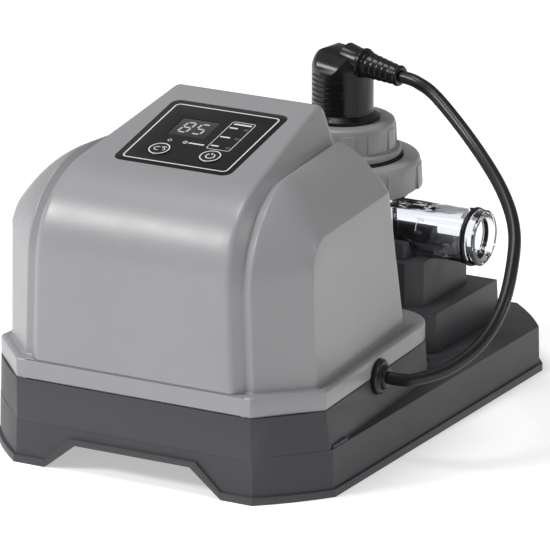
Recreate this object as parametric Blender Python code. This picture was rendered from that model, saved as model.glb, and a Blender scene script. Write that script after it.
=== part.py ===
"""Salt chlorine generator: a floor-standing control housing with the electrolytic cell on its rear deck.

Metres, +Z up. The origin is the middle of the footprint on the floor. The front faces -Y.
"""

from math import atan2, cos, pi, radians, sin, tan

import bmesh
import bpy
from mathutils import Matrix, Vector

GAP = 0.0003  # clearance between two pieces that rest on each other

# Base tray
BASE_WIDTH = 0.240
BASE_DEPTH = 0.356
CORNER_X = 0.036  # legs of the four corner chamfers
CORNER_Y = 0.039
CORNER_BULGE = 0.0016
RIM_HEIGHT = 0.0048
RIM_PROUD = 0.0020
DECK_HEIGHT = 0.0295
BASE_WALL = 0.0030
ARCH_HALF_BOTTOM = 0.0635
ARCH_HALF_TOP = 0.0405
ARCH_HEIGHT = 0.0173
ANCHOR_X = 0.0858
ANCHOR_Y = 0.2202  # from the front edge, as all these depths
ANCHOR_RADIUS = 0.0028

# Housing outline where the cover meets the base
PARTING_HEIGHT = 0.0547
HOUSING_FRONT = 0.0017
HOUSING_FRONT_HALF = 0.0820
HOUSING_SIDE_FRONT = (0.1146, 0.0368)
HOUSING_SIDE_REAR = (0.1043, 0.1781)
HOUSING_REAR = 0.2030
HOUSING_DRAFT = 0.0017  # how much wider the housing is where it meets the deck

# Cover
COVER_WALL = 0.0028
COVER_TOP = 0.2116
PANEL_TILT = radians(13.2)
LIP_HEIGHT = 0.0125
LEDGE_HEIGHT = 0.0143
WALL_FRONT = 0.0095
WALL_SIDE_FRONT = (0.1067, 0.0369)
WALL_SIDE_TAPER = 0.0951
WALL_REAR = 0.1820
WALL_REAR_LEAN = 0.235
WALL_REAR_RADIUS = 0.010
WALL_SIDE_DRAFT = 0.0175
TOP_REAR = 0.1487  # how far back the cover's top edge lies
BAND_HALF_FRONT = 0.0690
BAND_HALF_BEND = 0.0668
BAND_HALF_REAR = 0.0505
BAND_RADIUS = 0.058
BEVEL_WIDTH = 0.0075
GROOVE_HEIGHT = 0.1840
RIDGE_HEIGHT = 0.1880
RIDGE_OFFSET = 0.0050
SHOULDER_RADIUS = 0.060
CREASE_HEIGHT = 0.1580
CREASE_RADIUS = 0.020

# Control panel, measured in its own sloping plane from the panel's centre
PANEL_WIDTH = 0.0814
PANEL_LENGTH = 0.0794
PANEL_CORNER = 0.0060
PANEL_THICKNESS = 0.0011
PANEL_RECESS = 0.0014
PANEL_CENTRE_Y = 0.08705
WINDOW_SIZE = (0.0260, 0.0210)
WINDOW_PLACE = (-0.0103, 0.0092)
BUTTON_RADIUS = 0.0071
TIMER_PLACE = (-0.0177, -0.0212)
POWER_PLACE = (0.0178, -0.0209)
BUTTON_TRAVEL = 0.0006
BUTTON_CLEARANCE = 0.0004
BUTTON_FLANGE = 0.0086
BUTTON_SHOULDER = 0.0016  # thickness of the flange that keeps a button under the cover
BUTTON_STEM = 0.0020
SWITCH_SIZE = 0.0062
BOARD_DEPTH = 0.0130  # control board below the panel's face
BOARD_SIZE = (0.0760, 0.0740)
BOARD_THICKNESS = 0.0016
POST_PLACE = (0.0340, 0.0330)
POST_RADIUS = 0.0030
LIGHT_PLACE = (0.0224, 0.0044)
LIGHT_SIZE = (0.0032, 0.0024)
LIGHT_PITCH = 0.0118

# Electrolytic cell on its vertical axis, and the water tube across it
CELL_Y = 0.2677
CUP_RADIUS = 0.0365
CUP_BOTTOM = 0.0790
CUP_WALL = 0.0035
COLLAR_RADIUS = 0.0436
COLLAR_BOTTOM = 0.1160
COLLAR_TOP = 0.1330
TUBE_RADIUS = 0.0175
TUBE_BORE = 0.0136
TUBE_HEIGHT = 0.0994
TUBE_HALF = 0.1025
TUBE_RING_RADIUS = TUBE_RADIUS + 0.0005
TUBE_RING_WIDTH = 0.0030
O_RING_WIDTH = 0.0034
O_RING_PLACE = 0.0072  # from the tube's end to the middle of its O-ring
UNION_RADIUS = 0.0500
UNION_RIB = 0.0014
UNION_RIBS = 10
UNION_FIRST_RIB = radians(-26.9)
UNION_BOTTOM = 0.1215
UNION_TOP = 0.1411
UNION_BORE = 0.0386
LOCK_RADIUS = 0.0338
LOCK_RIB = 0.0009
LOCK_RIBS = 12
LOCK_FIRST_RIB = radians(-33.4)
LOCK_FLANGE_RADIUS = 0.0376
LOCK_FLANGE_TOP = 0.1470
LOCK_BOTTOM = 0.1426
LOCK_TOP = 0.1649
LOCK_BORE = 0.0210
NECK_RADIUS = 0.0280
NECK_TOP = 0.1540
SLIP_RING = 0.0010
HEAD_FLANGE = 0.0030
HEAD_FLANGE_RADIUS = 0.0410
HEAD_STEP_RADIUS = 0.0380
HEAD_PLAY = 0.0008  # between the head and the cup's bore
GROOVE_LOW = 0.1246
GROOVE_HIGH = 0.1284
GROOVE_DEPTH = 0.0020
HEAD_PLUG_BOTTOM = 0.1205
PLATE_COUNT = 5
PLATE_PITCH = 0.0070
PLATE_SIZE = (0.0400, 0.0010, 0.0350)
PLATE_SINK = 0.0030

# Right-angle plug on the cell
PLUG_TOP = 0.2115
PLUG_RADIUS = 0.0198
PLUG_FLANGE_RADIUS = 0.0240
PLUG_FLANGE_TOP = 0.1702
PLUG_FOOT_RADIUS = 0.0270
PLUG_FOOT = 0.0036
PLUG_SEAL = 0.0014
PLUG_NECK_RADIUS = 0.0205
SOCKET_RADIUS = 0.0150
SOCKET_TOP = 0.1730
PIN_RADIUS = 0.0016
PIN_CIRCLE = 0.0085
RELIEF_START = (0.0195, 0.2626, 0.2037)
RELIEF_TURN = radians(-8.4)
RELIEF_DIP = radians(7.3)
RELIEF_LENGTH = 0.0280
RELIEF_RADIUS = 0.0080
RELIEF_END_RADIUS = 0.0058
ARM_RADIUS = 0.0092

# Cable from the housing to the cell, and its glands
CABLE_RADIUS = 0.00405
GLAND_Y = 0.1130
GLAND_HEIGHT = 0.0536
GLAND_RADIUS = 0.0110
GLAND_THICKNESS = 0.0040
GLAND_NOSE_RADIUS = 0.0064
GLAND_NOSE = 0.0032
GLAND_NECK_RADIUS = 0.0080
CABLE_ROUTE = (
    (0.0750, 0.2545, 0.1908),
    (0.1085, 0.2391, 0.1697),
    (0.1404, 0.2156, 0.1508),
    (0.1597, 0.1950, 0.1341),
    (0.1690, 0.1748, 0.1162),
    (0.1731, 0.1530, 0.0958),
    (0.1681, 0.1355, 0.0777),
    (0.1536, 0.1220, 0.0634),
    (0.1345, 0.1150, 0.0552),
)

# Cradle under the cell
PLINTH_HALF = 0.0850
PLINTH_FRONT = 0.2280
PLINTH_REAR = 0.3200
PLINTH_TOP = 0.0550
RAMP_TOP_HALF = 0.0600
RAMP_REAR = 0.3510
RAMP_TOP = 0.0450
BLOCK_HALF = 0.0700
BLOCK_FRONT = 0.2380
BLOCK_REAR = 0.3060
BLOCK_TOP = 0.0840
BLOCK_CORNER = 0.0090
SADDLE_HALF = 0.0575
SADDLE_FRONT = 0.2440
SADDLE_REAR = 0.2920
SADDLE_TOP = 0.0950
CRADLE_WALL = 0.0035

# Inside the housing
FLOOR_HEIGHT = 0.0185
FLOOR_THICKNESS = 0.0022
FOOT_RADIUS = 0.0090
FOOT_TOP_RADIUS = 0.0110
FOOT_PLACES = ((0.0980, 0.0800), (0.0980, 0.2750))
SCREW_RADIUS = 0.0017
SCREW_HOLE = 0.0020
SCREW_HEAD_RADIUS = 0.0032
SCREW_HEAD = 0.0022
BOSS_RADIUS = 0.0042
FLOOR_SCREWS = ((0.1070, 0.0510), (0.1000, 0.3050))
COVER_SCREWS = ((0.0960, 0.0340), (0.0700, 0.1900))
COVER_PAD_DEPTH = 0.0085
CRADLE_SCREWS = ((0.0720, 0.2400), (0.0720, 0.3080))
CORE_SIZE = (0.0660, 0.0260, 0.0560)
COIL_SIZE = (0.0420, 0.0500, 0.0360)
TRANSFORMER_PLACE = (-0.0300, 0.1180)
POWER_BOARD_SIZE = (0.0500, 0.0900, 0.0016)
POWER_BOARD_PLACE = (0.0480, 0.0950)


def material(name, colour, roughness, metallic=0.0, alpha=1.0):
    """A Principled material with the piece's plain colour."""
    made = bpy.data.materials.new(name)
    made.use_nodes = True
    shader = made.node_tree.nodes["Principled BSDF"]
    shader.inputs["Base Color"].default_value = (*colour, 1.0)
    shader.inputs["Roughness"].default_value = roughness
    shader.inputs["Metallic"].default_value = metallic
    shader.inputs["Alpha"].default_value = alpha
    return made


def finish(name, mesh_builder, made_of, at=(0, 0, 0), smooth=False):
    """Links one named object made from a bmesh, with its origin at a chosen place."""
    bmesh.ops.recalc_face_normals(mesh_builder, faces=mesh_builder.faces)
    bmesh.ops.translate(mesh_builder, verts=mesh_builder.verts, vec=-Vector(at))
    mesh = bpy.data.meshes.new(name)
    mesh_builder.to_mesh(mesh)
    mesh_builder.free()
    if smooth:
        mesh.shade_smooth()
        mesh.set_sharp_from_angle(angle=radians(35))
    piece = bpy.data.objects.new(name, mesh)
    piece.location = at
    if made_of:
        piece.data.materials.append(made_of)
    bpy.context.scene.collection.objects.link(piece)
    return piece


def cutter(name, mesh_builder):
    """A helper solid for a Boolean, left out of the object."""
    helper = finish(name, mesh_builder, None)
    helper.hide_render = True
    helper.display_type = "WIRE"
    return helper


def boolean(piece, operation, other):
    """Adds an exact Boolean to a piece."""
    modifier = piece.modifiers.new(f"{operation.lower()} {other.name}", "BOOLEAN")
    modifier.operation = operation
    modifier.solver = "EXACT"
    modifier.object = other


def depth(y):
    """The place along Y of a depth measured back from the base's front edge."""
    return y - BASE_DEPTH / 2


def loft(builder, rings):
    """Closed solid through rings of equal point counts, capped at both ends."""
    made = [[builder.verts.new(point) for point in ring] for ring in rings]
    for low, high in zip(made, made[1:]):
        for index, corner in enumerate(low):
            after = (index + 1) % len(low)
            builder.faces.new((corner, low[after], high[after], high[index]))
    builder.faces.new(reversed(made[0]))
    builder.faces.new(made[-1])


def prism(outline, low, high):
    """A bmesh prism over an outline of (x, y) points."""
    builder = bmesh.new()
    loft(builder, [[(x, y, z) for x, y in outline] for z in (low, high)])
    return builder


def box(centre, size, turn=None):
    """A bmesh box by its centre and size, turned by a matrix about its centre."""
    builder = bmesh.new()
    place = Matrix.Translation(centre) @ (turn.to_4x4() if turn else Matrix())
    bmesh.ops.create_cube(builder, size=1.0, matrix=place @ Matrix.Diagonal((*size, 1.0)))
    return builder


def turned(profile, sides, centre=(0, 0, 0), turn=None):
    """Turns a profile of (radius, height) points about +Z, then turns and places it.

    A profile that starts and ends on the axis gets flat caps; any other closes on itself.
    """
    builder = bmesh.new()
    place = Matrix.Translation(centre) @ (turn.to_4x4() if turn else Matrix())
    solid = profile[0][0] == 0
    rings = []
    for radius, height in profile[1:-1] if solid else profile:
        angles = (2 * pi * (side + 0.5) / sides for side in range(sides))
        points = (place @ Vector((radius * cos(a), radius * sin(a), height)) for a in angles)
        rings.append([builder.verts.new(point) for point in points])
    if solid:
        builder.faces.new(reversed(rings[0]))
        builder.faces.new(rings[-1])
    for first, second in zip(rings, rings[1:] + ([] if solid else rings[:1])):
        for side in range(sides):
            after = (side + 1) % sides
            builder.faces.new((first[side], first[after], second[after], second[side]))
    return builder


def ribbed(builder, inner, rib, ribs, first, low, high):
    """Pushes the outer wall of a nut turned about the cell's axis out into grip pads."""
    centre = Vector((0, depth(CELL_Y), 0))
    for corner in builder.verts:
        away = corner.co - centre
        away.z = 0
        if abs(away.length - inner) > 1e-5 or not low - 1e-5 < corner.co.z < high + 1e-5:
            continue
        if (atan2(away.y, away.x) / (2 * pi) * ribs) % 1.0 < 0.5:
            corner.co += away.normalized() * rib
    turn = Matrix.Rotation(first, 3, "Z")
    bmesh.ops.rotate(builder, cent=centre, matrix=turn, verts=builder.verts)
    return builder


def arc_between(start, end, bulge, steps):
    """Points after start along a shallow arc that bulges to the right of its chord."""
    chord = Vector(end) - Vector(start)
    side = Vector((chord.y, -chord.x)).normalized()
    points = []
    for step in range(1, steps + 1):
        along = step / steps
        lift = bulge * (1 - (2 * along - 1) ** 2)
        points.append(tuple(Vector(start) + chord * along + side * lift))
    return points


def mirrored(right):
    """Closes a right-hand outline, front to rear, with its mirror image."""
    left = [(-x, y) for x, y in reversed(right) if x > 1e-6]
    return right + left


def base_outline(inset):
    """Plan of the base tray, inset from the rim's outer edge."""
    half = BASE_WIDTH / 2 - inset
    front = half - CORNER_X + inset * 0.55
    near = depth(inset)
    far = depth(BASE_DEPTH - inset)
    side_near = depth(CORNER_Y + inset * 0.40)
    side_far = depth(BASE_DEPTH - CORNER_Y - inset * 0.40)
    right = [(front, near)]
    right += arc_between((front, near), (half, side_near), CORNER_BULGE, 4)
    right += [(half, side_far)]
    right += arc_between((half, side_far), (front, far), CORNER_BULGE, 4)
    return mirrored(right)


def housing_outline(inset, grow=0.0):
    """Plan of the control housing at its parting line, inset, or grown on its sides."""
    side_x, side_y = HOUSING_SIDE_FRONT
    rear_x, rear_y = HOUSING_SIDE_REAR
    front = (HOUSING_FRONT_HALF - inset * 0.42, depth(HOUSING_FRONT + inset))
    side = (side_x - inset + grow, depth(side_y + inset * 0.42 + grow))
    far = depth(HOUSING_REAR - inset + grow)
    radius = HOUSING_REAR - rear_y
    right = [front] + arc_between(front, side, CORNER_BULGE * 0.8, 4)
    for step in range(7):
        angle = step / 6 * pi / 2
        x = rear_x - inset + grow - radius * (1 - cos(angle))
        y = far - radius * (1 - sin(angle))
        right.append((x, y))
    return mirrored(right)


def panel_frame():
    """Where the panel's centre is, and the turn that lays its plane along the cover's slope."""
    height = COVER_TOP - (TOP_REAR - PANEL_CENTRE_Y) * tan(PANEL_TILT)
    return Vector((0, depth(PANEL_CENTRE_Y), height)), Matrix.Rotation(PANEL_TILT, 3, "X")


def on_panel(place, lift):
    """A point by its place in the panel's plane and its lift along the panel's normal."""
    centre, turn = panel_frame()
    return centre + turn @ Vector((place[0], place[1], lift))


def rounded_rectangle(width, length, radius, steps=4):
    """Corner-rounded rectangle about the origin."""
    points = []
    for quarter in range(4):
        sign_x = 1 if quarter in (0, 3) else -1
        sign_y = 1 if quarter in (0, 1) else -1
        centre = Vector((sign_x * (width / 2 - radius), sign_y * (length / 2 - radius)))
        for step in range(steps + 1):
            angle = (quarter + step / steps) * pi / 2
            points.append(tuple(centre + radius * Vector((cos(angle), sin(angle)))))
    return points


def panel_slab(outline, low, high):
    """A slab over an outline drawn in the panel's plane."""
    builder = bmesh.new()
    loft(builder, [[on_panel(point, lift) for point in outline] for lift in (low, high)])
    return builder


# The cover is drawn as columns that run up the front, back over the top and down the rear.

WALL_ROWS = 3
BEND_ROWS = 6
BACK_STEPS = (1 / 3, 2 / 3, 1.0)
LEDGE = PARTING_HEIGHT + LEDGE_HEIGHT
BAND_COLUMNS = 3


def rear_y(height):
    """The leaning rear wall of the cover."""
    return WALL_REAR - WALL_REAR_LEAN * (height - LEDGE)


def side_x(y, height):
    """The tapering, drafted side wall of the cover."""
    x, front = WALL_SIDE_FRONT
    return x - WALL_SIDE_TAPER * (y - front) - WALL_SIDE_DRAFT * (height - LEDGE)


def rear_meeting(bend_y, bend_z, slope, wall):
    """Where a top line that starts at the bend meets the leaning rear wall."""
    rise = tan(slope)
    across = WALL_REAR - wall - WALL_REAR_LEAN * (bend_z - bend_y * rise - LEDGE)
    y = across / (1 + WALL_REAR_LEAN * rise)
    return y, bend_z + (y - bend_y) * rise


def column(front, radius, top, slope, halves, wall):
    """Rows of one column: its wall, its bend, its run to the rear, and the rear wall."""
    low = LEDGE - wall
    bend_y = front + radius * (1 - sin(slope))
    start = top - radius * cos(slope)
    far_y, far_z = rear_meeting(bend_y, top, slope, wall)
    rows = [(front, low + (start - low) * row / WALL_ROWS) for row in range(WALL_ROWS)]
    for row in range(BEND_ROWS + 1):
        angle = (pi / 2 - slope) * row / BEND_ROWS
        rows.append((front + radius * (1 - cos(angle)), start + radius * sin(angle)))
    stop = far_y - WALL_REAR_RADIUS
    places = [bend_y + (stop - bend_y) * share for share in BACK_STEPS]
    places += [far_y - WALL_REAR_RADIUS * 0.29, far_y]
    rows += [(y, top + (y - bend_y) * tan(slope)) for y in places]
    for row in range(1, WALL_ROWS + 1):
        z = far_z + (low - far_z) * row / WALL_ROWS
        rows.append((rear_y(z) - wall, z))
    foot, bend, rear = halves
    points = []
    for index, (y, z) in enumerate(rows):
        if index <= WALL_ROWS:
            half = foot + (bend - foot) * (z - low) / (start - low)
        else:
            half = bend + (rear - bend) * min(1.0, (y - front) / (far_y - front))
            half = rear if index >= len(rows) - WALL_ROWS else half
        points.append(Vector((half, y, z)))
    return points


def side_path(heights, wall):
    """The side wall in plan, from the front crease round the rear corner, at the given heights."""
    front = WALL_SIDE_FRONT[1] + wall * 1.3
    radius = CREASE_RADIUS - wall * 0.5
    points = []
    for index, z in enumerate(heights):
        far = rear_y(z) - wall
        stop = far - WALL_REAR_RADIUS
        if index <= BEND_ROWS:
            y = front + radius * (1 - cos(pi / 2 * index / BEND_ROWS))
        elif index < len(heights) - 2:
            y = front + radius + (stop - front - radius) * BACK_STEPS[index - BEND_ROWS - 1]
        if index < len(heights) - 2:
            points.append(Vector((side_x(y, z) - wall, y, z)))
            continue
        angle = pi / 4 * (index - len(heights) + 3)
        x = side_x(stop, z) - wall - WALL_REAR_RADIUS * (1 - cos(angle))
        points.append(Vector((x, stop + WALL_REAR_RADIUS * sin(angle), z)))
    return points


def crease_column(wall):
    """The column along the crease between the shoulder and the side wall."""
    low = LEDGE - wall
    top = CREASE_HEIGHT - wall * 1.3
    radius = CREASE_RADIUS - wall * 0.5
    heights = [top - radius + radius * sin(pi / 2 * row / BEND_ROWS) for row in range(BEND_ROWS + 1)]
    heights += [top] * (len(BACK_STEPS) + 2)
    over = side_path(heights, wall)
    rows = []
    for row in range(WALL_ROWS):
        z = low + (heights[0] - low) * row / WALL_ROWS
        rows.append(Vector((side_x(over[0].y, z) - wall, over[0].y, z)))
    rows += over
    for row in range(1, WALL_ROWS + 1):
        z = top + (low - top) * row / WALL_ROWS
        stop = rear_y(z) - wall - WALL_REAR_RADIUS
        x = side_x(stop, z) - wall - WALL_REAR_RADIUS
        rows.append(Vector((x, rear_y(z) - wall, z)))
    return rows


def cover_columns(wall):
    """Right-hand columns of the skin at a depth of wall below the outside, centre first."""
    radius = BAND_RADIUS - wall
    front = HOUSING_FRONT + wall
    bend_y = front + radius * (1 - sin(PANEL_TILT))
    top = COVER_TOP - wall / cos(PANEL_TILT) - (TOP_REAR - bend_y) * tan(PANEL_TILT)
    halves = [half - wall for half in (BAND_HALF_FRONT, BAND_HALF_BEND, BAND_HALF_REAR)]
    made = []
    for share in (0.0, 0.5, 1.0):
        shared = [half * share for half in halves]
        made.append(column(front, radius, top, PANEL_TILT, shared, wall))
    for offset, height in ((0.0, GROOVE_HEIGHT), (RIDGE_OFFSET, RIDGE_HEIGHT)):
        shifted = [half + BEVEL_WIDTH + offset for half in halves]
        drop = height - wall * 1.4 - (wall and height - GROOVE_HEIGHT)
        made.append(column(WALL_FRONT + wall, SHOULDER_RADIUS, drop, 0, shifted, wall))
    ridge, crease = made[-1], crease_column(wall)
    for share in (0.35, 0.7):
        fall = 0.47 * share + 0.53 * share * share
        mixed = [near.lerp(far, share) for near, far in zip(ridge, crease)]
        for point, near, far in zip(mixed, ridge, crease):
            point.z = near.z + (far.z - near.z) * fall
        made.append(mixed)
    return made + [crease]


def skirt_outline(foot, inset):
    """The skirt's plan points, one for each point of the wall's foot, in the same order."""
    columns = len(cover_columns(0.0))
    corner = Vector((HOUSING_FRONT_HALF - 0.42 * inset, HOUSING_FRONT + inset))
    side = Vector((HOUSING_SIDE_FRONT[0] - inset, HOUSING_SIDE_FRONT[1] + 0.42 * inset))
    rear = Vector((HOUSING_SIDE_REAR[0] - inset, HOUSING_SIDE_REAR[1]))
    reach = HOUSING_REAR - HOUSING_SIDE_REAR[1]
    flush = HOUSING_FRONT + (inset if inset >= COVER_WALL else 0.0)
    front = [Vector((foot[columns - 1 + index].x, flush)) for index in range(BAND_COLUMNS)]
    front.append(corner - Vector((0.0040, 0)))
    front += [corner.lerp(side, share) for share in (0.0, 0.35, 0.7, 1.0)]
    beside = [side.lerp(rear, index / 7.5) for index in range(1, 8)]
    for angle in (0.0, pi / 6, pi / 3):
        away = Vector((reach * (cos(angle) - 1), (reach - inset) * sin(angle)))
        beside.append(rear + away)
    behind_start = 2 * columns - 1 + len(beside)
    last = rear.x - reach
    first = foot[behind_start].x
    behind = [
        Vector((foot[behind_start + index].x * last / first, HOUSING_REAR - inset))
        for index in range(columns)
    ]

    def left(points):
        return [Vector((-point.x, point.y)) for point in reversed(points)]

    return left(front[1:]) + front + beside + behind + left(behind[:-1]) + left(beside)


def cover_skin(builder, wall):
    """Adds one skin of the cover and returns its vertices round the ledge."""
    right = cover_columns(wall)
    columns = [[Vector((-p.x, p.y, p.z)) for p in rows] for rows in reversed(right[1:])] + right
    grid = [[builder.verts.new((p.x, depth(p.y), p.z)) for p in rows] for rows in columns]
    for near, far in zip(grid, grid[1:]):
        for row in range(len(near) - 1):
            builder.faces.new((near[row], far[row], far[row + 1], near[row + 1]))
    across = len(right[-1]) - 2 * WALL_ROWS
    foot = side_path([LEDGE - wall] * across, wall)
    over = right[-1][WALL_ROWS : WALL_ROWS + across]
    feet = []
    for edge, sign in ((grid[-1], 1), (grid[0], -1)):
        above = edge[WALL_ROWS : WALL_ROWS + across]
        for step in range(1, WALL_ROWS + 1):
            below = [edge[WALL_ROWS - step]]
            for high, low in zip(over[1:-1], foot[1:-1]):
                point = high.lerp(low, step / WALL_ROWS)
                below.append(builder.verts.new((sign * point.x, depth(point.y), point.z)))
            below.append(edge[WALL_ROWS + across - 1 + step])
            for index in range(across - 1):
                corners = (above[index], below[index], below[index + 1], above[index + 1])
                builder.faces.new(corners)
            above = below
        feet.append(above[1:-1])
    front = [rows[0] for rows in grid]
    rear = [rows[-1] for rows in grid]
    return front + feet[0] + rear[::-1] + feet[1][::-1]


def join_loops(builder, first, second):
    """Faces between two closed loops of equal length."""
    for index, corner in enumerate(first):
        after = (index + 1) % len(first)
        builder.faces.new((corner, first[after], second[after], second[index]))


def cover_mesh():
    """The cover: an outer skin with its skirt, and an inner skin a wall's thickness below."""
    builder = bmesh.new()
    outer = cover_skin(builder, 0.0)
    inner = cover_skin(builder, COVER_WALL)
    foot = [Vector((corner.co.x, corner.co.y + BASE_DEPTH / 2)) for corner in outer]
    lip_top = PARTING_HEIGHT + LIP_HEIGHT
    levels = (
        (0.0014, lip_top),
        (0.0, lip_top - 0.0020),
        (0.0, PARTING_HEIGHT),
        (COVER_WALL, PARTING_HEIGHT),
        (COVER_WALL, lip_top - COVER_WALL),
    )
    ring = outer
    for inset, z in levels:
        outline = skirt_outline(foot, inset)
        following = [builder.verts.new((point.x, depth(point.y), z)) for point in outline]
        join_loops(builder, ring, following)
        ring = following
    join_loops(builder, ring, inner)
    return builder


def cylinder(radius, low, high, place=(0, 0, 0), sides=24, turn=None):
    """A round bar between two heights on its own axis."""
    profile = [(0, low), (radius, low), (radius, high), (0, high)]
    return turned(profile, sides, place, turn)


def round_at(radius, low, high, x, y, sides=16):
    """A vertical round bar at a place of the plan."""
    return cylinder(radius, low, high, (x, depth(y), 0), sides)


def cut(piece, mesh_builder):
    """Cuts a helper solid out of a piece."""
    helper = cutter(f"{piece.name} cut {len(piece.modifiers)}", mesh_builder)
    boolean(piece, "DIFFERENCE", helper)


def weld(piece, mesh_builder):
    """Joins a helper solid to a piece."""
    helper = cutter(f"{piece.name} weld {len(piece.modifiers)}", mesh_builder)
    boolean(piece, "UNION", helper)


def screw(name, x, y, seat, tip, made_of):
    """A pan-head screw that points up, its head just under the seat."""
    profile = [
        (0, seat - SCREW_HEAD),
        (SCREW_HEAD_RADIUS * 0.85, seat - SCREW_HEAD),
        (SCREW_HEAD_RADIUS, seat),
        (SCREW_RADIUS, seat),
        (SCREW_RADIUS, tip),
        (0, tip),
    ]
    return finish(name, turned(profile, 10, (x, depth(y), 0)), made_of)


for old in list(bpy.data.objects):
    bpy.data.objects.remove(old, do_unlink=True)

COVER_GREY = material("cover_grey_plastic", (0.36, 0.36, 0.37), 0.42)
BASE_GREY = material("base_grey_plastic", (0.085, 0.085, 0.094), 0.48)
NUT_GREY = material("nut_grey_plastic", (0.26, 0.26, 0.27), 0.45)
PANEL_FILM = material("panel_film", (0.075, 0.075, 0.08), 0.35)
BUTTON_FILM = material("button_film", (0.12, 0.12, 0.13), 0.38)
WINDOW_RED = material("window_tint", (0.06, 0.01, 0.01), 0.12)
DISPLAY_BLACK = material("display_black", (0.02, 0.02, 0.022), 0.45)
LIGHT_WHITE = material("light_white", (0.55, 0.56, 0.58), 0.40)
BOARD_GREEN = material("board_green", (0.02, 0.16, 0.06), 0.45)
CORE_STEEL = material("core_steel", (0.30, 0.31, 0.33), 0.40, 0.9)
COIL_TAPE = material("coil_tape", (0.55, 0.40, 0.06), 0.50)
BLOCK_GREEN = material("terminal_green", (0.05, 0.25, 0.10), 0.45)
PLUG_BLACK = material("plug_black", (0.012, 0.012, 0.014), 0.42)
CABLE_BLACK = material("cable_black", (0.015, 0.015, 0.017), 0.45)
SEAL_RUBBER = material("seal_rubber", (0.012, 0.012, 0.012), 0.65)
HEAD_BLACK = material("head_black", (0.02, 0.02, 0.022), 0.40)
TITANIUM = material("titanium", (0.35, 0.34, 0.33), 0.45, 0.9)
PIN_BRASS = material("pin_brass", (0.70, 0.52, 0.25), 0.30, 1.0)
CLEAR_PLASTIC = material("clear_plastic", (0.78, 0.82, 0.84), 0.08, 0.0, 0.35)
SCREW_STEEL = material("screw_steel", (0.55, 0.56, 0.58), 0.30, 1.0)
FOOT_RUBBER = material("foot_rubber", (0.03, 0.03, 0.03), 0.75)

# Glands: the right one holds the cell's cable, the left one is the mains inlet.

SIDE_SLOPE = atan2(
    HOUSING_SIDE_FRONT[0] - HOUSING_SIDE_REAR[0], HOUSING_SIDE_REAR[1] - HOUSING_SIDE_FRONT[1]
)
GLAND_WALL_X = HOUSING_SIDE_FRONT[0] - (GLAND_Y - HOUSING_SIDE_FRONT[1]) * tan(SIDE_SLOPE)


def gland_frame(side):
    """The gland's place on the housing wall, and the turn that lays its axis along the normal."""
    place = Vector((side * GLAND_WALL_X, depth(GLAND_Y), GLAND_HEIGHT))
    outward = Matrix.Rotation(pi / 2 * side, 3, "Y")
    return place, Matrix.Rotation(SIDE_SLOPE * side, 3, "Z") @ outward


def gland_hole(side):
    """The wall's hole for a gland, with the flat seat of its flange."""
    profile = [
        (0, -0.020),
        (GLAND_NECK_RADIUS + GAP, -0.020),
        (GLAND_NECK_RADIUS + GAP, -GAP),
        (GLAND_RADIUS + GAP, -GAP),
        (GLAND_RADIUS + GAP, 0.006),
        (0, 0.006),
    ]
    place, turn = gland_frame(side)
    return turned(profile, 24, place, turn)


def gland(name, side):
    """A cable gland: nose, outer flange, neck through the wall, and the nut inside."""
    profile = [
        (0, -0.0085),
        (GLAND_RADIUS - 0.0010, -0.0085),
        (GLAND_RADIUS - 0.0010, -0.0042),
        (GLAND_NECK_RADIUS, -0.0042),
        (GLAND_NECK_RADIUS, 0.0),
        (GLAND_RADIUS, 0.0),
        (GLAND_RADIUS, GLAND_THICKNESS - 0.0008),
        (GLAND_RADIUS - 0.0008, GLAND_THICKNESS),
        (GLAND_NOSE_RADIUS + 0.0012, GLAND_THICKNESS),
        (GLAND_NOSE_RADIUS, GLAND_THICKNESS + GLAND_NOSE),
        (0, GLAND_THICKNESS + GLAND_NOSE),
    ]
    place, turn = gland_frame(side)
    return finish(name, turned(profile, 24, place, turn), PLUG_BLACK, smooth=True)


gland("cable_gland", 1)
gland("mains_gland", -1)

# Base: an upturned tray with a deck, and the open tub of the housing rising out of it.

builder = bmesh.new()
levels = ((0.0, 0.0), (0.0, RIM_HEIGHT), (RIM_PROUD, RIM_HEIGHT), (RIM_PROUD + 0.0005, DECK_HEIGHT))
loft(builder, [[(x, y, z) for x, y in base_outline(inset)] for inset, z in levels])
base_shell = finish("base_shell", builder, BASE_GREY)
builder = bmesh.new()
tub_foot = [(x, y, DECK_HEIGHT - 0.0020) for x, y in housing_outline(0.0, HOUSING_DRAFT)]
loft(builder, [tub_foot, [(x, y, PARTING_HEIGHT - GAP) for x, y in housing_outline(0.0)]])
weld(base_shell, builder)


def arch(spread, near, far):
    """The trapezium of the front arch between two depths."""
    half_bottom, half_top = ARCH_HALF_BOTTOM + spread, ARCH_HALF_TOP + spread
    low, top = min(-spread, 0.0), ARCH_HEIGHT + spread
    if spread == 0:
        low = -0.0010
    corners = ((-half_bottom, low), (half_bottom, low), (half_top, top), (-half_top, top))
    shape = bmesh.new()
    loft(shape, [[(x, depth(y), max(z, low)) for x, z in corners] for y in (near, far)])
    return shape


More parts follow.
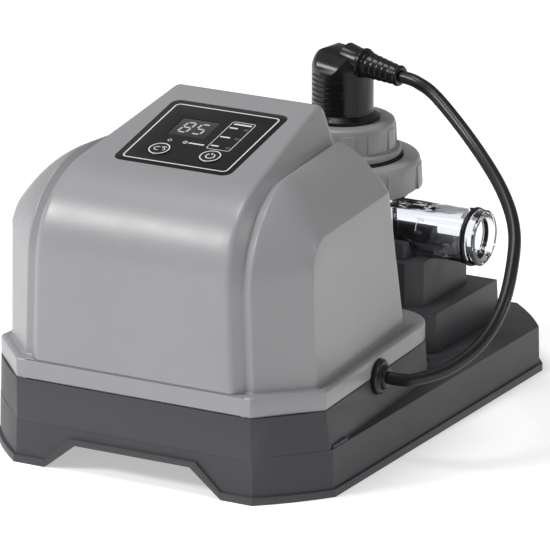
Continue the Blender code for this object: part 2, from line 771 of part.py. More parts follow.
arch_rim = arch(RIM_HEIGHT * 0.8, 0.0, RIM_PROUD + 0.0010)
for corner in arch_rim.verts:
    corner.co.z = max(corner.co.z, 0.0)
weld(base_shell, arch_rim)
cut(base_shell, prism(base_outline(RIM_PROUD + BASE_WALL), -0.0010, DECK_HEIGHT - BASE_WALL))
cut(base_shell, prism(housing_outline(BASE_WALL), 0.0100, PARTING_HEIGHT + 0.0100))
cut(base_shell, arch(0.0, -0.0050, 0.0100))
for side in (-1, 1):
    (web_x, web_y), (boss_x, boss_y) = FLOOR_SCREWS
    web = box((side * (web_x + 0.0020), depth(web_y), 0.0262), (0.0160, 0.0180, 0.0104))
    weld(base_shell, web)
    weld(base_shell, round_at(0.0055, 0.0210, DECK_HEIGHT - 0.0010, side * boss_x, boss_y))
    for x, y in FLOOR_SCREWS:
        cut(base_shell, round_at(SCREW_HOLE, 0.0190, 0.0275, side * x, y, 12))
    (front_x, front_y), (rear_x, rear_pad_y) = COVER_SCREWS
    low = PARTING_HEIGHT - GAP - COVER_PAD_DEPTH
    high = PARTING_HEIGHT - GAP - 0.0002
    weld(base_shell, round_at(0.0100, low, high, side * front_x, front_y, 20))
    weld(base_shell, box((side * rear_x, depth(rear_pad_y + 0.0035), (low + high) / 2),
                         (0.0120, 0.0155, high - low)))
    for x, y in COVER_SCREWS:
        cut(base_shell, round_at(SCREW_HOLE, low - 0.0010, high + 0.0010, side * x, y, 12))
    for x, y in CRADLE_SCREWS:
        cut(base_shell, round_at(SCREW_HOLE, 0.0240, 0.0310, side * x, y, 12))
    cut(base_shell, round_at(ANCHOR_RADIUS, 0.0240, 0.0310, side * ANCHOR_X, ANCHOR_Y))
    cut(base_shell, gland_hole(side))

# Floor plate, its stand-offs for the power board, and the feet under it.

FLOOR_TOP = FLOOR_HEIGHT + FLOOR_THICKNESS
bottom_plate = finish(
    "bottom_plate",
    prism(base_outline(RIM_PROUD + BASE_WALL + 0.0004), FLOOR_HEIGHT, FLOOR_TOP),
    BASE_GREY,
)
board_x, board_y = POWER_BOARD_PLACE
board_low = FLOOR_TOP + 0.0060
for corner_x in (-1, 1):
    for corner_y in (-1, 1):
        x = board_x + corner_x * (POWER_BOARD_SIZE[0] / 2 - 0.0040)
        y = board_y + corner_y * (POWER_BOARD_SIZE[1] / 2 - 0.0040)
        weld(bottom_plate, round_at(0.0030, FLOOR_HEIGHT + 0.0010, board_low - GAP, x, y, 12))
for side, side_name in ((-1, "left"), (1, "right")):
    for x, y in FLOOR_SCREWS:
        cut(bottom_plate, round_at(SCREW_HOLE, 0.0160, 0.0230, side * x, y, 12))
    cut(bottom_plate, round_at(0.0045, 0.0160, 0.0230, side * ANCHOR_X, ANCHOR_Y))
    for (x, y), end_name in zip(FOOT_PLACES, ("front", "rear")):
        profile = [
            (0, 0.0),
            (FOOT_RADIUS - 0.0010, 0.0),
            (FOOT_RADIUS, 0.0010),
            (FOOT_TOP_RADIUS, FLOOR_HEIGHT - GAP),
            (0, FLOOR_HEIGHT - GAP),
        ]
        foot = turned(profile, 20, (side * x, depth(y), 0))
        finish(f"foot_{end_name}_{side_name}", foot, FOOT_RUBBER, smooth=True)
    for (x, y), end_name in zip(FLOOR_SCREWS, ("front", "rear")):
        name = f"floor_screw_{end_name}_{side_name}"
        screw(name, side * x, y, FLOOR_HEIGHT - GAP, 0.0268, SCREW_STEEL)
    for (x, y), end_name in zip(COVER_SCREWS, ("front", "rear")):
        name = f"cover_screw_{end_name}_{side_name}"
        seat = PARTING_HEIGHT - 2 * GAP - COVER_PAD_DEPTH
        screw(name, side * x, y, seat, 0.0620, SCREW_STEEL)
    for (x, y), end_name in zip(CRADLE_SCREWS, ("front", "rear")):
        name = f"cradle_screw_{end_name}_{side_name}"
        screw(name, side * x, y, DECK_HEIGHT - BASE_WALL - GAP, 0.0400, SCREW_STEEL)

# Cover, with its screw bosses, the posts for the control board and the panel's recess.

cover = finish("cover", cover_mesh(), COVER_GREY)
for side in (-1, 1):
    (front_x, front_y), (rear_x, rear_pad_y) = COVER_SCREWS
    weld(cover, round_at(BOSS_RADIUS, PARTING_HEIGHT + GAP, 0.0740, side * front_x, front_y))
    weld(cover, round_at(BOSS_RADIUS, PARTING_HEIGHT + GAP, 0.0665, side * rear_x, rear_pad_y))
    for x, y in COVER_SCREWS:
        cut(cover, round_at(SCREW_HOLE, PARTING_HEIGHT - 0.0010, 0.0635, side * x, y, 12))
    cut(cover, gland_hole(side))
    for end in (-1, 1):
        place = on_panel((side * POST_PLACE[0], end * POST_PLACE[1]), 0)
        turn = panel_frame()[1]
        weld(cover, cylinder(POST_RADIUS, GAP - BOARD_DEPTH, -0.0022, place, 12, turn))
recess = rounded_rectangle(PANEL_WIDTH + 2 * GAP, PANEL_LENGTH + 2 * GAP, PANEL_CORNER)
cut(cover, panel_slab(recess, -PANEL_RECESS, 0.0040))
panel = finish(
    "control_panel",
    panel_slab(
        rounded_rectangle(PANEL_WIDTH, PANEL_LENGTH, PANEL_CORNER),
        -PANEL_THICKNESS,
        -0.0001,
    ),
    PANEL_FILM,
)
tilt = panel_frame()[1]
window_hole = [
    (x + WINDOW_PLACE[0], y + WINDOW_PLACE[1])
    for x, y in rounded_rectangle(WINDOW_SIZE[0] + 2 * GAP, WINDOW_SIZE[1] + 2 * GAP, 0.0013, 2)
]
window_outline = [
    (x + WINDOW_PLACE[0], y + WINDOW_PLACE[1])
    for x, y in rounded_rectangle(*WINDOW_SIZE, 0.0010, 2)
]
for piece in (cover, panel):
    cut(piece, panel_slab(window_hole, -0.0060, 0.0030))
    for place in (TIMER_PLACE, POWER_PLACE):
        hole_radius = BUTTON_RADIUS + BUTTON_CLEARANCE
        cut(piece, cylinder(hole_radius, -0.0060, 0.0030, on_panel(place, 0), 24, tilt))
finish("display_window", panel_slab(window_outline, -0.0036, -0.0002), WINDOW_RED)

# Buttons, the display and the switches on the control board.

BOARD_TOP = -BOARD_DEPTH
SWITCH_TOP = BOARD_TOP + 0.0050
shoulder = -COVER_WALL - BUTTON_CLEARANCE
for name, place in (("timer", TIMER_PLACE), ("power", POWER_PLACE)):
    profile = [
        (0, SWITCH_TOP + BUTTON_TRAVEL + 0.0001),
        (BUTTON_STEM, SWITCH_TOP + BUTTON_TRAVEL + 0.0001),
        (BUTTON_STEM, shoulder - BUTTON_SHOULDER),
        (BUTTON_FLANGE, shoulder - BUTTON_SHOULDER),
        (BUTTON_FLANGE, shoulder),
        (BUTTON_RADIUS, shoulder),
        (BUTTON_RADIUS, 0.0002),
        (BUTTON_RADIUS - 0.0005, 0.0007),
        (0, 0.0007),
    ]
    centre = on_panel(place, 0)
    finish(f"{name}_button", turned(profile, 24, centre, tilt), BUTTON_FILM, at=centre, smooth=True)
    body = box(on_panel(place, (BOARD_TOP + GAP + SWITCH_TOP) / 2 - 0.0005),
               (SWITCH_SIZE, SWITCH_SIZE, SWITCH_TOP - BOARD_TOP - GAP - 0.0010), tilt)
    switch = finish(f"{name}_switch", body, DISPLAY_BLACK)
    weld(switch, cylinder(0.0017, SWITCH_TOP - 0.0015, SWITCH_TOP, centre, 12, tilt))
module_low, module_high = BOARD_TOP + GAP, -0.0036 - GAP
module = box(on_panel(WINDOW_PLACE, (module_low + module_high) / 2),
             (WINDOW_SIZE[0] - 0.0014, WINDOW_SIZE[1] - 0.0014, module_high - module_low), tilt)
finish("display_module", module, DISPLAY_BLACK)
control_board = finish(
    "control_board",
    panel_slab(rounded_rectangle(*BOARD_SIZE, 0.0020, 2), BOARD_TOP - BOARD_THICKNESS, BOARD_TOP),
    BOARD_GREEN,
)
for side in (-1, 1):
    for end in (-1, 1):
        place = on_panel((side * POST_PLACE[0], end * POST_PLACE[1]), 0)
        low = BOARD_TOP - BOARD_THICKNESS
        cut(control_board, cylinder(0.0015, low - 0.0010, BOARD_TOP + 0.0010, place, 12, tilt))
        cut(cover, cylinder(0.0013, GAP - BOARD_DEPTH - 0.0010, -0.0060, place, 12, tilt))

for index, level_name in enumerate(("low", "good", "high")):
    light_x, light_y = LIGHT_PLACE[0], LIGHT_PLACE[1] + (index - 1) * LIGHT_PITCH
    wide, long = LIGHT_SIZE
    hole = box(on_panel((light_x, light_y), 0), (wide + 2 * GAP, long + 2 * GAP, 0.0120), tilt)
    for piece in (cover, panel):
        cut(piece, hole.copy())
    hole.free()
    light_low, light_high = BOARD_TOP + GAP, -0.0002
    light = box(on_panel((light_x, light_y), (light_low + light_high) / 2),
                (wide, long, light_high - light_low), tilt)
    finish(f"level_light_{level_name}", light, LIGHT_WHITE)

# Transformer, power board and terminal block on the floor plate.

core_x, core_y, core_z = CORE_SIZE
transformer_x, transformer_y = TRANSFORMER_PLACE
core_low = FLOOR_TOP + GAP
centre = Vector((transformer_x, depth(transformer_y), core_low + core_z / 2))
core = finish("transformer_core", box(centre, CORE_SIZE), CORE_STEEL)
window_x, window_z = core_x / 6, core_z - core_x / 3
for side in (-1, 1):
    place = centre + Vector((side * core_x / 4, 0, 0))
    cut(core, box(place, (window_x, core_y + 0.002, window_z)))
coil_x, coil_y, coil_z = COIL_SIZE
coil = finish("transformer_coil", box(centre, (coil_x, coil_y, window_z - 2 * GAP)), COIL_TAPE)
cut(coil, box(centre, (core_x / 3 + 2 * GAP, core_y + 2 * GAP, window_z + 0.002)))
board_size = POWER_BOARD_SIZE
centre = Vector((board_x, depth(board_y), board_low + board_size[2] / 2))
power_board = finish("power_board", box(centre, board_size), BOARD_GREEN)
board_top = board_low + board_size[2]
for x, y, radius, height in ((-0.012, 0.020, 0.0080, 0.026), (0.008, 0.024, 0.0063, 0.020)):
    can = round_at(radius, board_top - 0.0005, board_top + height, board_x + x, board_y + y, 20)
    weld(power_board, can)
relay_at = (board_x + 0.008, depth(board_y - 0.008), board_top + 0.0078)
weld(power_board, box(relay_at, (0.0190, 0.0150, 0.0166)))
block = finish(
    "terminal_block",
    box((board_x, depth(board_y - 0.0340), board_top + GAP + 0.0060), (0.0400, 0.0110, 0.0120)),
    BLOCK_GREEN,
)
for index in range(4):
    x = board_x + (index - 1.5) * 0.0095
    cut(block, round_at(0.0026, board_top + 0.0080, board_top + 0.0140, x, board_y - 0.0340, 12))

# Cradle behind the housing: plinth, block and saddle, with the ramp down to the rear edge.


def stack(half, near, far, corner, low, high, spread=0.0):
    """A block of the cradle with cut front corners, a little wider at its foot."""
    rings = []
    for grow, z in ((spread, low), (0.0, high)):
        right = [(half + grow - corner, depth(near - grow)), (half + grow, depth(near - grow + corner))]
        right.append((half + grow, depth(far + grow)))
        rings.append([(x, y, z) for x, y in mirrored(right)])
    shape = bmesh.new()
    loft(shape, rings)
    return shape


SEAT = DECK_HEIGHT + GAP
plinth = stack(PLINTH_HALF, PLINTH_FRONT, PLINTH_REAR, 0.0080, SEAT, PLINTH_TOP, 0.0010)
cradle = finish("cell_cradle", plinth, BASE_GREY)
weld(cradle, stack(BLOCK_HALF, BLOCK_FRONT, BLOCK_REAR, BLOCK_CORNER, PLINTH_TOP - 0.0010, BLOCK_TOP))
saddle = stack(SADDLE_HALF, SADDLE_FRONT, SADDLE_REAR, 0.0010, BLOCK_TOP - 0.0010, SADDLE_TOP)
weld(cradle, saddle)
builder = bmesh.new()
ramp = [(PLINTH_REAR - 0.0020, SEAT), (RAMP_REAR, SEAT), (RAMP_REAR, SEAT + 0.0020)]
ramp.append((PLINTH_REAR - 0.0020, RAMP_TOP))
loft(builder, [[(x, depth(y), z) for y, z in ramp] for x in (-RAMP_TOP_HALF, RAMP_TOP_HALF)])
weld(cradle, builder)
cut(cradle, stack(
    PLINTH_HALF - CRADLE_WALL, PLINTH_FRONT + CRADLE_WALL, PLINTH_REAR - CRADLE_WALL,
    0.0070, SEAT - 0.0020, PLINTH_TOP - CRADLE_WALL,
))
cut(cradle, stack(
    BLOCK_HALF - CRADLE_WALL, BLOCK_FRONT + CRADLE_WALL, BLOCK_REAR - CRADLE_WALL,
    0.0075, SEAT + 0.0100, 0.0740,
))
cut(cradle, round_at(CUP_RADIUS + 2 * GAP, CUP_BOTTOM - GAP, 0.1200, 0, CELL_Y, 40))
ACROSS = Matrix.Rotation(pi / 2, 3, "Y")
TUBE_AT = (0, depth(CELL_Y), TUBE_HEIGHT)
cut(cradle, cylinder(TUBE_RADIUS + 2 * GAP, -0.100, 0.100, TUBE_AT, 28, ACROSS))
for side in (-1, 1):
    for x, y in CRADLE_SCREWS:
        weld(cradle, round_at(BOSS_RADIUS, SEAT, PLINTH_TOP - 0.0020, side * x, y))
        cut(cradle, round_at(SCREW_HOLE, SEAT - 0.0010, 0.0420, side * x, y, 12))

# Clear cell housing: a cup with a threaded collar and the water tube across its foot.

CUP_BORE = CUP_RADIUS - CUP_WALL
profile = [
    (0, CUP_BOTTOM),
    (CUP_RADIUS - 0.0030, CUP_BOTTOM),
    (CUP_RADIUS, CUP_BOTTOM + 0.0030),
    (CUP_RADIUS, COLLAR_BOTTOM),
    (COLLAR_RADIUS, COLLAR_BOTTOM),
    (COLLAR_RADIUS, COLLAR_TOP),
    (0, COLLAR_TOP),
]
cell_housing = finish("cell_housing", turned(profile, 40, (0, depth(CELL_Y), 0)), CLEAR_PLASTIC)
ring_low = TUBE_HALF - O_RING_PLACE - O_RING_WIDTH / 2 - GAP
ring_high = ring_low + O_RING_WIDTH + 2 * GAP
profile = [
    (0, -TUBE_HALF),
    (TUBE_RING_RADIUS, -TUBE_HALF),
    (TUBE_RING_RADIUS, -ring_high),
    (TUBE_RADIUS - 0.0012, -ring_high),
    (TUBE_RADIUS - 0.0012, -ring_low),
    (TUBE_RING_RADIUS, -ring_low),
    (TUBE_RING_RADIUS, -ring_low + TUBE_RING_WIDTH),
    (TUBE_RADIUS, -ring_low + TUBE_RING_WIDTH),
]
profile += [(radius, -place) for radius, place in reversed(profile)]
weld(cell_housing, turned(profile, 28, TUBE_AT, ACROSS))
cut(cell_housing, round_at(CUP_BORE, CUP_BOTTOM + CUP_WALL, 0.1400, 0, CELL_Y, 40))
cut(cell_housing, cylinder(TUBE_BORE, -0.110, 0.110, TUBE_AT, 28, ACROSS))
for side, side_name in ((-1, "left"), (1, "right")):
    low = side * (TUBE_HALF - O_RING_PLACE) - O_RING_WIDTH / 2
    inner, outer = TUBE_RADIUS - 0.0012 + GAP, TUBE_RING_RADIUS + 0.0010
    profile = [
        (inner, low),
        (outer - 0.0006, low),
        (outer, low + 0.0008),
        (outer, low + O_RING_WIDTH - 0.0008),
        (outer - 0.0006, low + O_RING_WIDTH),
        (inner, low + O_RING_WIDTH),
    ]
    ring = turned(profile, 28, TUBE_AT, ACROSS)
    finish(f"tube_oring_{side_name}", ring, SEAL_RUBBER, smooth=True)

# Electrode head with its plates, O-ring, comb and contact pins.

FLANGE_LOW = COLLAR_TOP + GAP
FLANGE_HIGH = FLANGE_LOW + HEAD_FLANGE
CELL_AXIS = (0, depth(CELL_Y), 0)
HEAD_RADIUS = CUP_BORE - HEAD_PLAY
GROOVE_RADIUS = HEAD_RADIUS - GROOVE_DEPTH
profile = [
    (0, HEAD_PLUG_BOTTOM),
    (HEAD_RADIUS, HEAD_PLUG_BOTTOM),
    (HEAD_RADIUS, GROOVE_LOW),
    (GROOVE_RADIUS, GROOVE_LOW),
    (GROOVE_RADIUS, GROOVE_HIGH),
    (HEAD_RADIUS, GROOVE_HIGH),
    (HEAD_RADIUS, FLANGE_LOW),
    (HEAD_FLANGE_RADIUS, FLANGE_LOW),
    (HEAD_FLANGE_RADIUS, FLANGE_HIGH),
    (HEAD_STEP_RADIUS, FLANGE_HIGH),
    (HEAD_STEP_RADIUS, LOCK_BOTTOM - 0.0004),
    (NECK_RADIUS, LOCK_BOTTOM - 0.0004),
    (NECK_RADIUS, NECK_TOP),
    (0, NECK_TOP),
]
electrode_head = finish("electrode_head", turned(profile, 40, CELL_AXIS), HEAD_BLACK)
profile = [
    (GROOVE_RADIUS + GAP, GROOVE_LOW + GAP),
    (CUP_BORE - GAP, GROOVE_LOW + GAP),
    (CUP_BORE - GAP, GROOVE_HIGH - GAP),
    (GROOVE_RADIUS + GAP, GROOVE_HIGH - GAP),
]
finish("head_oring", turned(profile, 40, CELL_AXIS), SEAL_RUBBER)
plate_x, plate_y, plate_z = PLATE_SIZE
plate_top = HEAD_PLUG_BOTTOM + PLATE_SINK
comb_top = plate_top - plate_z + 0.0020
comb = finish(
    "plate_spacer",
    box((0, depth(CELL_Y), comb_top - 0.0025), (0.0060, PLATE_PITCH * 4 + 0.0060, 0.0050)),
    HEAD_BLACK,
)
for index in range(PLATE_COUNT):
    y = depth(CELL_Y) + (index - (PLATE_COUNT - 1) / 2) * PLATE_PITCH
    size = (plate_x, plate_y, plate_z)
    plate = box((0, y, plate_top - plate_z / 2), size)
    finish(f"electrode_plate_{index + 1}", plate, TITANIUM)
    slot = (plate_x + 2 * GAP, plate_y + 2 * GAP, PLATE_SINK + GAP + 0.0010)
    cut(electrode_head, box((0, y, plate_top + GAP - slot[2] / 2), slot))
    notch = (0.0080, plate_y + 2 * GAP, 0.0020 + GAP + 0.0010)
    cut(comb, box((0, y, comb_top + 0.0010 - notch[2] / 2), notch))
for index in range(3):
    angle = pi / 2 + index * 2 * pi / 3
    x, y = PIN_CIRCLE * cos(angle), CELL_Y + PIN_CIRCLE * sin(angle)
    pin_low = NECK_TOP - 0.0060
    cut(electrode_head, round_at(PIN_RADIUS + GAP, pin_low - GAP, NECK_TOP + 0.0010, x, y, 12))
    finish(f"contact_pin_{index + 1}", round_at(PIN_RADIUS, pin_low, 0.1660, x, y, 12), PIN_BRASS)

# Union nut over the collar, its slip ring, and the small nut that locks the plug.

slip_low = FLANGE_HIGH + GAP
profile = [
    (UNION_BORE + 0.0002, slip_low),
    (UNION_RADIUS - 0.0061, slip_low),
    (UNION_RADIUS - 0.0061, slip_low + SLIP_RING),
    (UNION_BORE + 0.0002, slip_low + SLIP_RING),
]
finish("union_slip_ring", turned(profile, 40, CELL_AXIS), LIGHT_WHITE, at=CELL_AXIS)
top_low = slip_low + SLIP_RING + GAP
profile = [
    (COLLAR_RADIUS + 0.0006, UNION_BOTTOM),
    (UNION_RADIUS, UNION_BOTTOM),
    (UNION_RADIUS, UNION_TOP - 0.0022),
    (UNION_RADIUS - 0.0016, UNION_TOP),
    (UNION_BORE, UNION_TOP),
    (UNION_BORE, top_low),
    (COLLAR_RADIUS + 0.0006, top_low),
]
union = ribbed(turned(profile, 4 * UNION_RIBS, CELL_AXIS), UNION_RADIUS, UNION_RIB, UNION_RIBS,
               UNION_FIRST_RIB, UNION_BOTTOM, UNION_TOP - 0.0022)
finish("electrode_nut", union, NUT_GREY, at=CELL_AXIS)
seal_low = NECK_TOP + GAP
foot_low = seal_low + PLUG_SEAL + GAP
lock_under = foot_low + PLUG_FOOT + GAP
profile = [
    (NECK_RADIUS + 0.0006, LOCK_BOTTOM),
    (LOCK_FLANGE_RADIUS, LOCK_BOTTOM),
    (LOCK_FLANGE_RADIUS, LOCK_FLANGE_TOP - 0.0008),
    (LOCK_FLANGE_RADIUS - 0.0008, LOCK_FLANGE_TOP),
    (LOCK_RADIUS, LOCK_FLANGE_TOP),
    (LOCK_RADIUS, LOCK_TOP - 0.0026),
    (LOCK_RADIUS - 0.0016, LOCK_TOP),
    (LOCK_BORE, LOCK_TOP),
    (LOCK_BORE, lock_under),
    (NECK_RADIUS + 0.0006, lock_under),
]
lock = ribbed(turned(profile, 4 * LOCK_RIBS, CELL_AXIS), LOCK_RADIUS, LOCK_RIB, LOCK_RIBS,
              LOCK_FIRST_RIB, LOCK_FLANGE_TOP, LOCK_TOP - 0.0026)
finish("plug_nut", lock, NUT_GREY, at=CELL_AXIS)
profile = [
    (LOCK_BORE, seal_low),
    (PLUG_FOOT_RADIUS, seal_low),
    (PLUG_FOOT_RADIUS, seal_low + PLUG_SEAL),
    (LOCK_BORE, seal_low + PLUG_SEAL),
]
finish("plug_seal", turned(profile, 32, CELL_AXIS), SEAL_RUBBER)

# Right-angle plug: body, socket for the pins, strain relief, and the cable to the housing.

TURN = Matrix.Rotation(RELIEF_TURN, 3, "Z") @ Matrix.Rotation(pi / 2 + RELIEF_DIP, 3, "Y")
RELIEF_AT = Vector((RELIEF_START[0], depth(RELIEF_START[1]), RELIEF_START[2]))
profile = [
    (0, foot_low),
    (PLUG_FOOT_RADIUS, foot_low),
    (PLUG_FOOT_RADIUS, foot_low + PLUG_FOOT),
    (PLUG_NECK_RADIUS, foot_low + PLUG_FOOT),
    (PLUG_NECK_RADIUS, LOCK_TOP + GAP),
    (PLUG_FLANGE_RADIUS, LOCK_TOP + GAP),
    (PLUG_FLANGE_RADIUS, PLUG_FLANGE_TOP - 0.0010),
    (PLUG_FLANGE_RADIUS - 0.0010, PLUG_FLANGE_TOP),
    (PLUG_RADIUS, PLUG_FLANGE_TOP),
    (PLUG_RADIUS, PLUG_TOP - 0.0100),
    (PLUG_RADIUS - 0.0010, PLUG_TOP - 0.0050),
    (PLUG_RADIUS - 0.0042, PLUG_TOP - 0.0014),
    (PLUG_RADIUS - 0.0085, PLUG_TOP),
    (0, PLUG_TOP),
]
plug_body = finish("plug_body", turned(profile, 28, CELL_AXIS), PLUG_BLACK)
weld(plug_body, cylinder(ARM_RADIUS, -0.0130, 0.0010, RELIEF_AT, 24, TURN))
cut(plug_body, cylinder(RELIEF_RADIUS + GAP, -GAP, 0.0300, RELIEF_AT, 24, TURN))
cut(plug_body, cylinder(SOCKET_RADIUS + GAP, 0.1400, SOCKET_TOP + GAP, CELL_AXIS, 24))
plug_socket = finish(
    "plug_socket",
    cylinder(SOCKET_RADIUS, seal_low + 0.0004, SOCKET_TOP, CELL_AXIS, 24),
    HEAD_BLACK,
)
for index in range(3):
    angle = pi / 2 + index * 2 * pi / 3
    x, y = PIN_CIRCLE * cos(angle), CELL_Y + PIN_CIRCLE * sin(angle)
    cut(plug_socket, round_at(PIN_RADIUS + GAP, 0.1500, 0.1666, x, y, 12))
profile = [
    (0, 0.0),
    (RELIEF_RADIUS, 0.0),
    (RELIEF_RADIUS - 0.0004, 0.0060),
    (RELIEF_END_RADIUS, RELIEF_LENGTH - 0.0025),
    (RELIEF_END_RADIUS + 0.0004, RELIEF_LENGTH - 0.0022),
    (RELIEF_END_RADIUS + 0.0004, RELIEF_LENGTH),
    (0, RELIEF_LENGTH),
]
relief = turned(profile, 24, RELIEF_AT, TURN)
finish("plug_strain_relief", relief, PLUG_BLACK, smooth=True)


def smooth_route(points, pieces):
    """Points of a smooth curve through the route, closely spaced."""
    found = [points[0]]
    for index in range(len(points) - 1):
        before = points[max(index - 1, 0)]
        start, end = points[index], points[index + 1]
        after = points[min(index + 2, len(points) - 1)]
        for step in range(1, pieces + 1):
            t = step / pieces
            found.append(
                0.5
                * (
                    2 * start
                    + (end - before) * t
                    + (2 * before - 5 * start + 4 * end - after) * t * t
                    + (3 * start - before - 3 * end + after) * t * t * t
                )
            )
    return found


gland_at, gland_turn = gland_frame(1)
outward = gland_turn @ Vector((0, 0, 1))
along = TURN @ Vector((0, 0, 1))
first = RELIEF_AT + along * (RELIEF_LENGTH + GAP)
last = gland_at + outward * (GLAND_THICKNESS + GLAND_NOSE + GAP)
route = [first, first + along * 0.0120]
route += [Vector((x, depth(y), z)) for x, y, z in CABLE_ROUTE]
route += [last + outward * 0.0090, last]
fine = smooth_route(route, 12)
step = CABLE_RADIUS * 2 * 1.1
spaced = [fine[0]]
for point in fine[1:-1]:
    if (point - spaced[-1]).length >= step and (point - fine[-1]).length > step * 0.6:
        spaced.append(point)
spaced.append(fine[-1])
curve = bpy.data.curves.new("cell_cable", "CURVE")
curve.dimensions = "3D"
spline = curve.splines.new("POLY")
spline.points.add(len(spaced) - 1)
for point, place in zip(spline.points, spaced):
    point.co = (*place, 1.0)
curve.bevel_depth = CABLE_RADIUS
curve.bevel_resolution = 3
curve.use_fill_caps = True
curve.materials.append(CABLE_BLACK)
cable = bpy.data.objects.new("cell_cable", curve)
bpy.context.scene.collection.objects.link(cable)
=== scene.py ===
"""Salt chlorine generator on its tray: control housing in front, electrolytic cell and plug behind."""

import math

import bmesh
import bpy
from mathutils import Matrix, Vector


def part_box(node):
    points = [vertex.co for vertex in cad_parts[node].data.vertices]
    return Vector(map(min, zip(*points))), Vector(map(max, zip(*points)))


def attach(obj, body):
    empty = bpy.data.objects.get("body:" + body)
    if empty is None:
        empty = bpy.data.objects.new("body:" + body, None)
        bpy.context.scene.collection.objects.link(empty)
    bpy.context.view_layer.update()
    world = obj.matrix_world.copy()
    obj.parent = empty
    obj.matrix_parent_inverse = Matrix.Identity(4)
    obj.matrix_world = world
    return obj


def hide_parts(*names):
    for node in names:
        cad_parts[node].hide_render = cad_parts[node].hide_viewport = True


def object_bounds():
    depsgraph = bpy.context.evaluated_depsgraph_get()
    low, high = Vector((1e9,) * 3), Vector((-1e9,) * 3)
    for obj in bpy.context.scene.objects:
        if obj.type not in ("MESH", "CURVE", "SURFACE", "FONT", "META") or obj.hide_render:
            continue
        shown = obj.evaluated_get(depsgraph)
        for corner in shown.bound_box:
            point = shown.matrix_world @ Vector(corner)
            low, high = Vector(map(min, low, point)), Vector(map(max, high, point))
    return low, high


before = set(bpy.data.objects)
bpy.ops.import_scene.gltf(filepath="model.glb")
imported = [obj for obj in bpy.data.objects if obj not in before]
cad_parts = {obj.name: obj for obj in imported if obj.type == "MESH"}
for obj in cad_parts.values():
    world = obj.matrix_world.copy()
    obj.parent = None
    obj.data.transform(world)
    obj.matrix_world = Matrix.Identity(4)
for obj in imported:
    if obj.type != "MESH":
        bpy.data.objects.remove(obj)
cad_low, cad_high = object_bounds()

# Camera: a long lens, a little above the housing's top, to the right of its front.

lens = bpy.data.cameras.new("camera")
lens.lens = 392.7
lens.sensor_width = 36.0
lens.clip_start = 0.5
lens.clip_end = 20.0
camera = bpy.data.objects.new("camera", lens)
camera.location = (1.7514, -3.1411, 1.2166)
aim = Vector((0.01631, -0.0280, 0.09419)) - camera.location
camera.rotation_euler = aim.to_track_quat("-Z", "Y").to_euler()
bpy.context.scene.collection.objects.link(camera)
bpy.context.scene.camera = camera

# Cell cable: round black flexible cable, 8.1 mm, moulded into the plug's strain relief at one
# end and held by the gland in the housing's side at the other. It is stiff enough to stand in
# one open bow between them.

CABLE_DIAMETER = 0.0081
relief_along = Vector((0.98125, -0.1449, -0.12706))
gland_outward = Vector((0.99735, 0.0727, 0.0))
cable_start = Vector((0.04727, 0.0805, 0.2001))
cable_end = Vector((0.11653, -0.06445, 0.0536))
cable_route = [
    cable_start,
    cable_start + relief_along * 0.0120,
    Vector((0.0750, 0.0765, 0.1908)),
    Vector((0.1085, 0.0611, 0.1697)),
    Vector((0.1404, 0.0376, 0.1508)),
    Vector((0.1597, 0.0170, 0.1341)),
    Vector((0.1690, -0.0032, 0.1162)),
    Vector((0.1731, -0.0250, 0.0958)),
    Vector((0.1681, -0.0425, 0.0777)),
    Vector((0.1536, -0.0560, 0.0634)),
    Vector((0.1345, -0.0630, 0.0552)),
    cable_end + gland_outward * 0.0090,
    cable_end,
]


def smooth_route(points, pieces):
    """Points of a smooth curve through the route's own points."""
    found = [points[0]]
    for index in range(len(points) - 1):
        before, start = points[max(index - 1, 0)], points[index]
        end, after = points[index + 1], points[min(index + 2, len(points) - 1)]
        for step in range(1, pieces + 1):
            t = step / pieces
            bend = 2 * before - 5 * start + 4 * end - after
            twist = 3 * start - before - 3 * end + after
            found.append(0.5 * (2 * start + (end - before) * t + bend * t * t + twist * t**3))
    return found


cable_points = smooth_route(cable_route, 8)
cable_length = sum((b - a).length for a, b in zip(cable_points, cable_points[1:]))
cable_curve = bpy.data.curves.new("cell_cable_jacket", "CURVE")
cable_curve.dimensions = "3D"
cable_curve.bevel_depth = CABLE_DIAMETER / 2
cable_curve.bevel_resolution = 6
cable_curve.use_fill_caps = True
cable_line = cable_curve.splines.new("POLY")
cable_line.points.add(len(cable_points) - 1)
for spot, place in zip(cable_line.points, cable_points):
    spot.co = (*place, 1.0)
cable_line.use_smooth = True
cable = bpy.data.objects.new("cell_cable_jacket", cable_curve)
bpy.context.scene.collection.objects.link(cable)


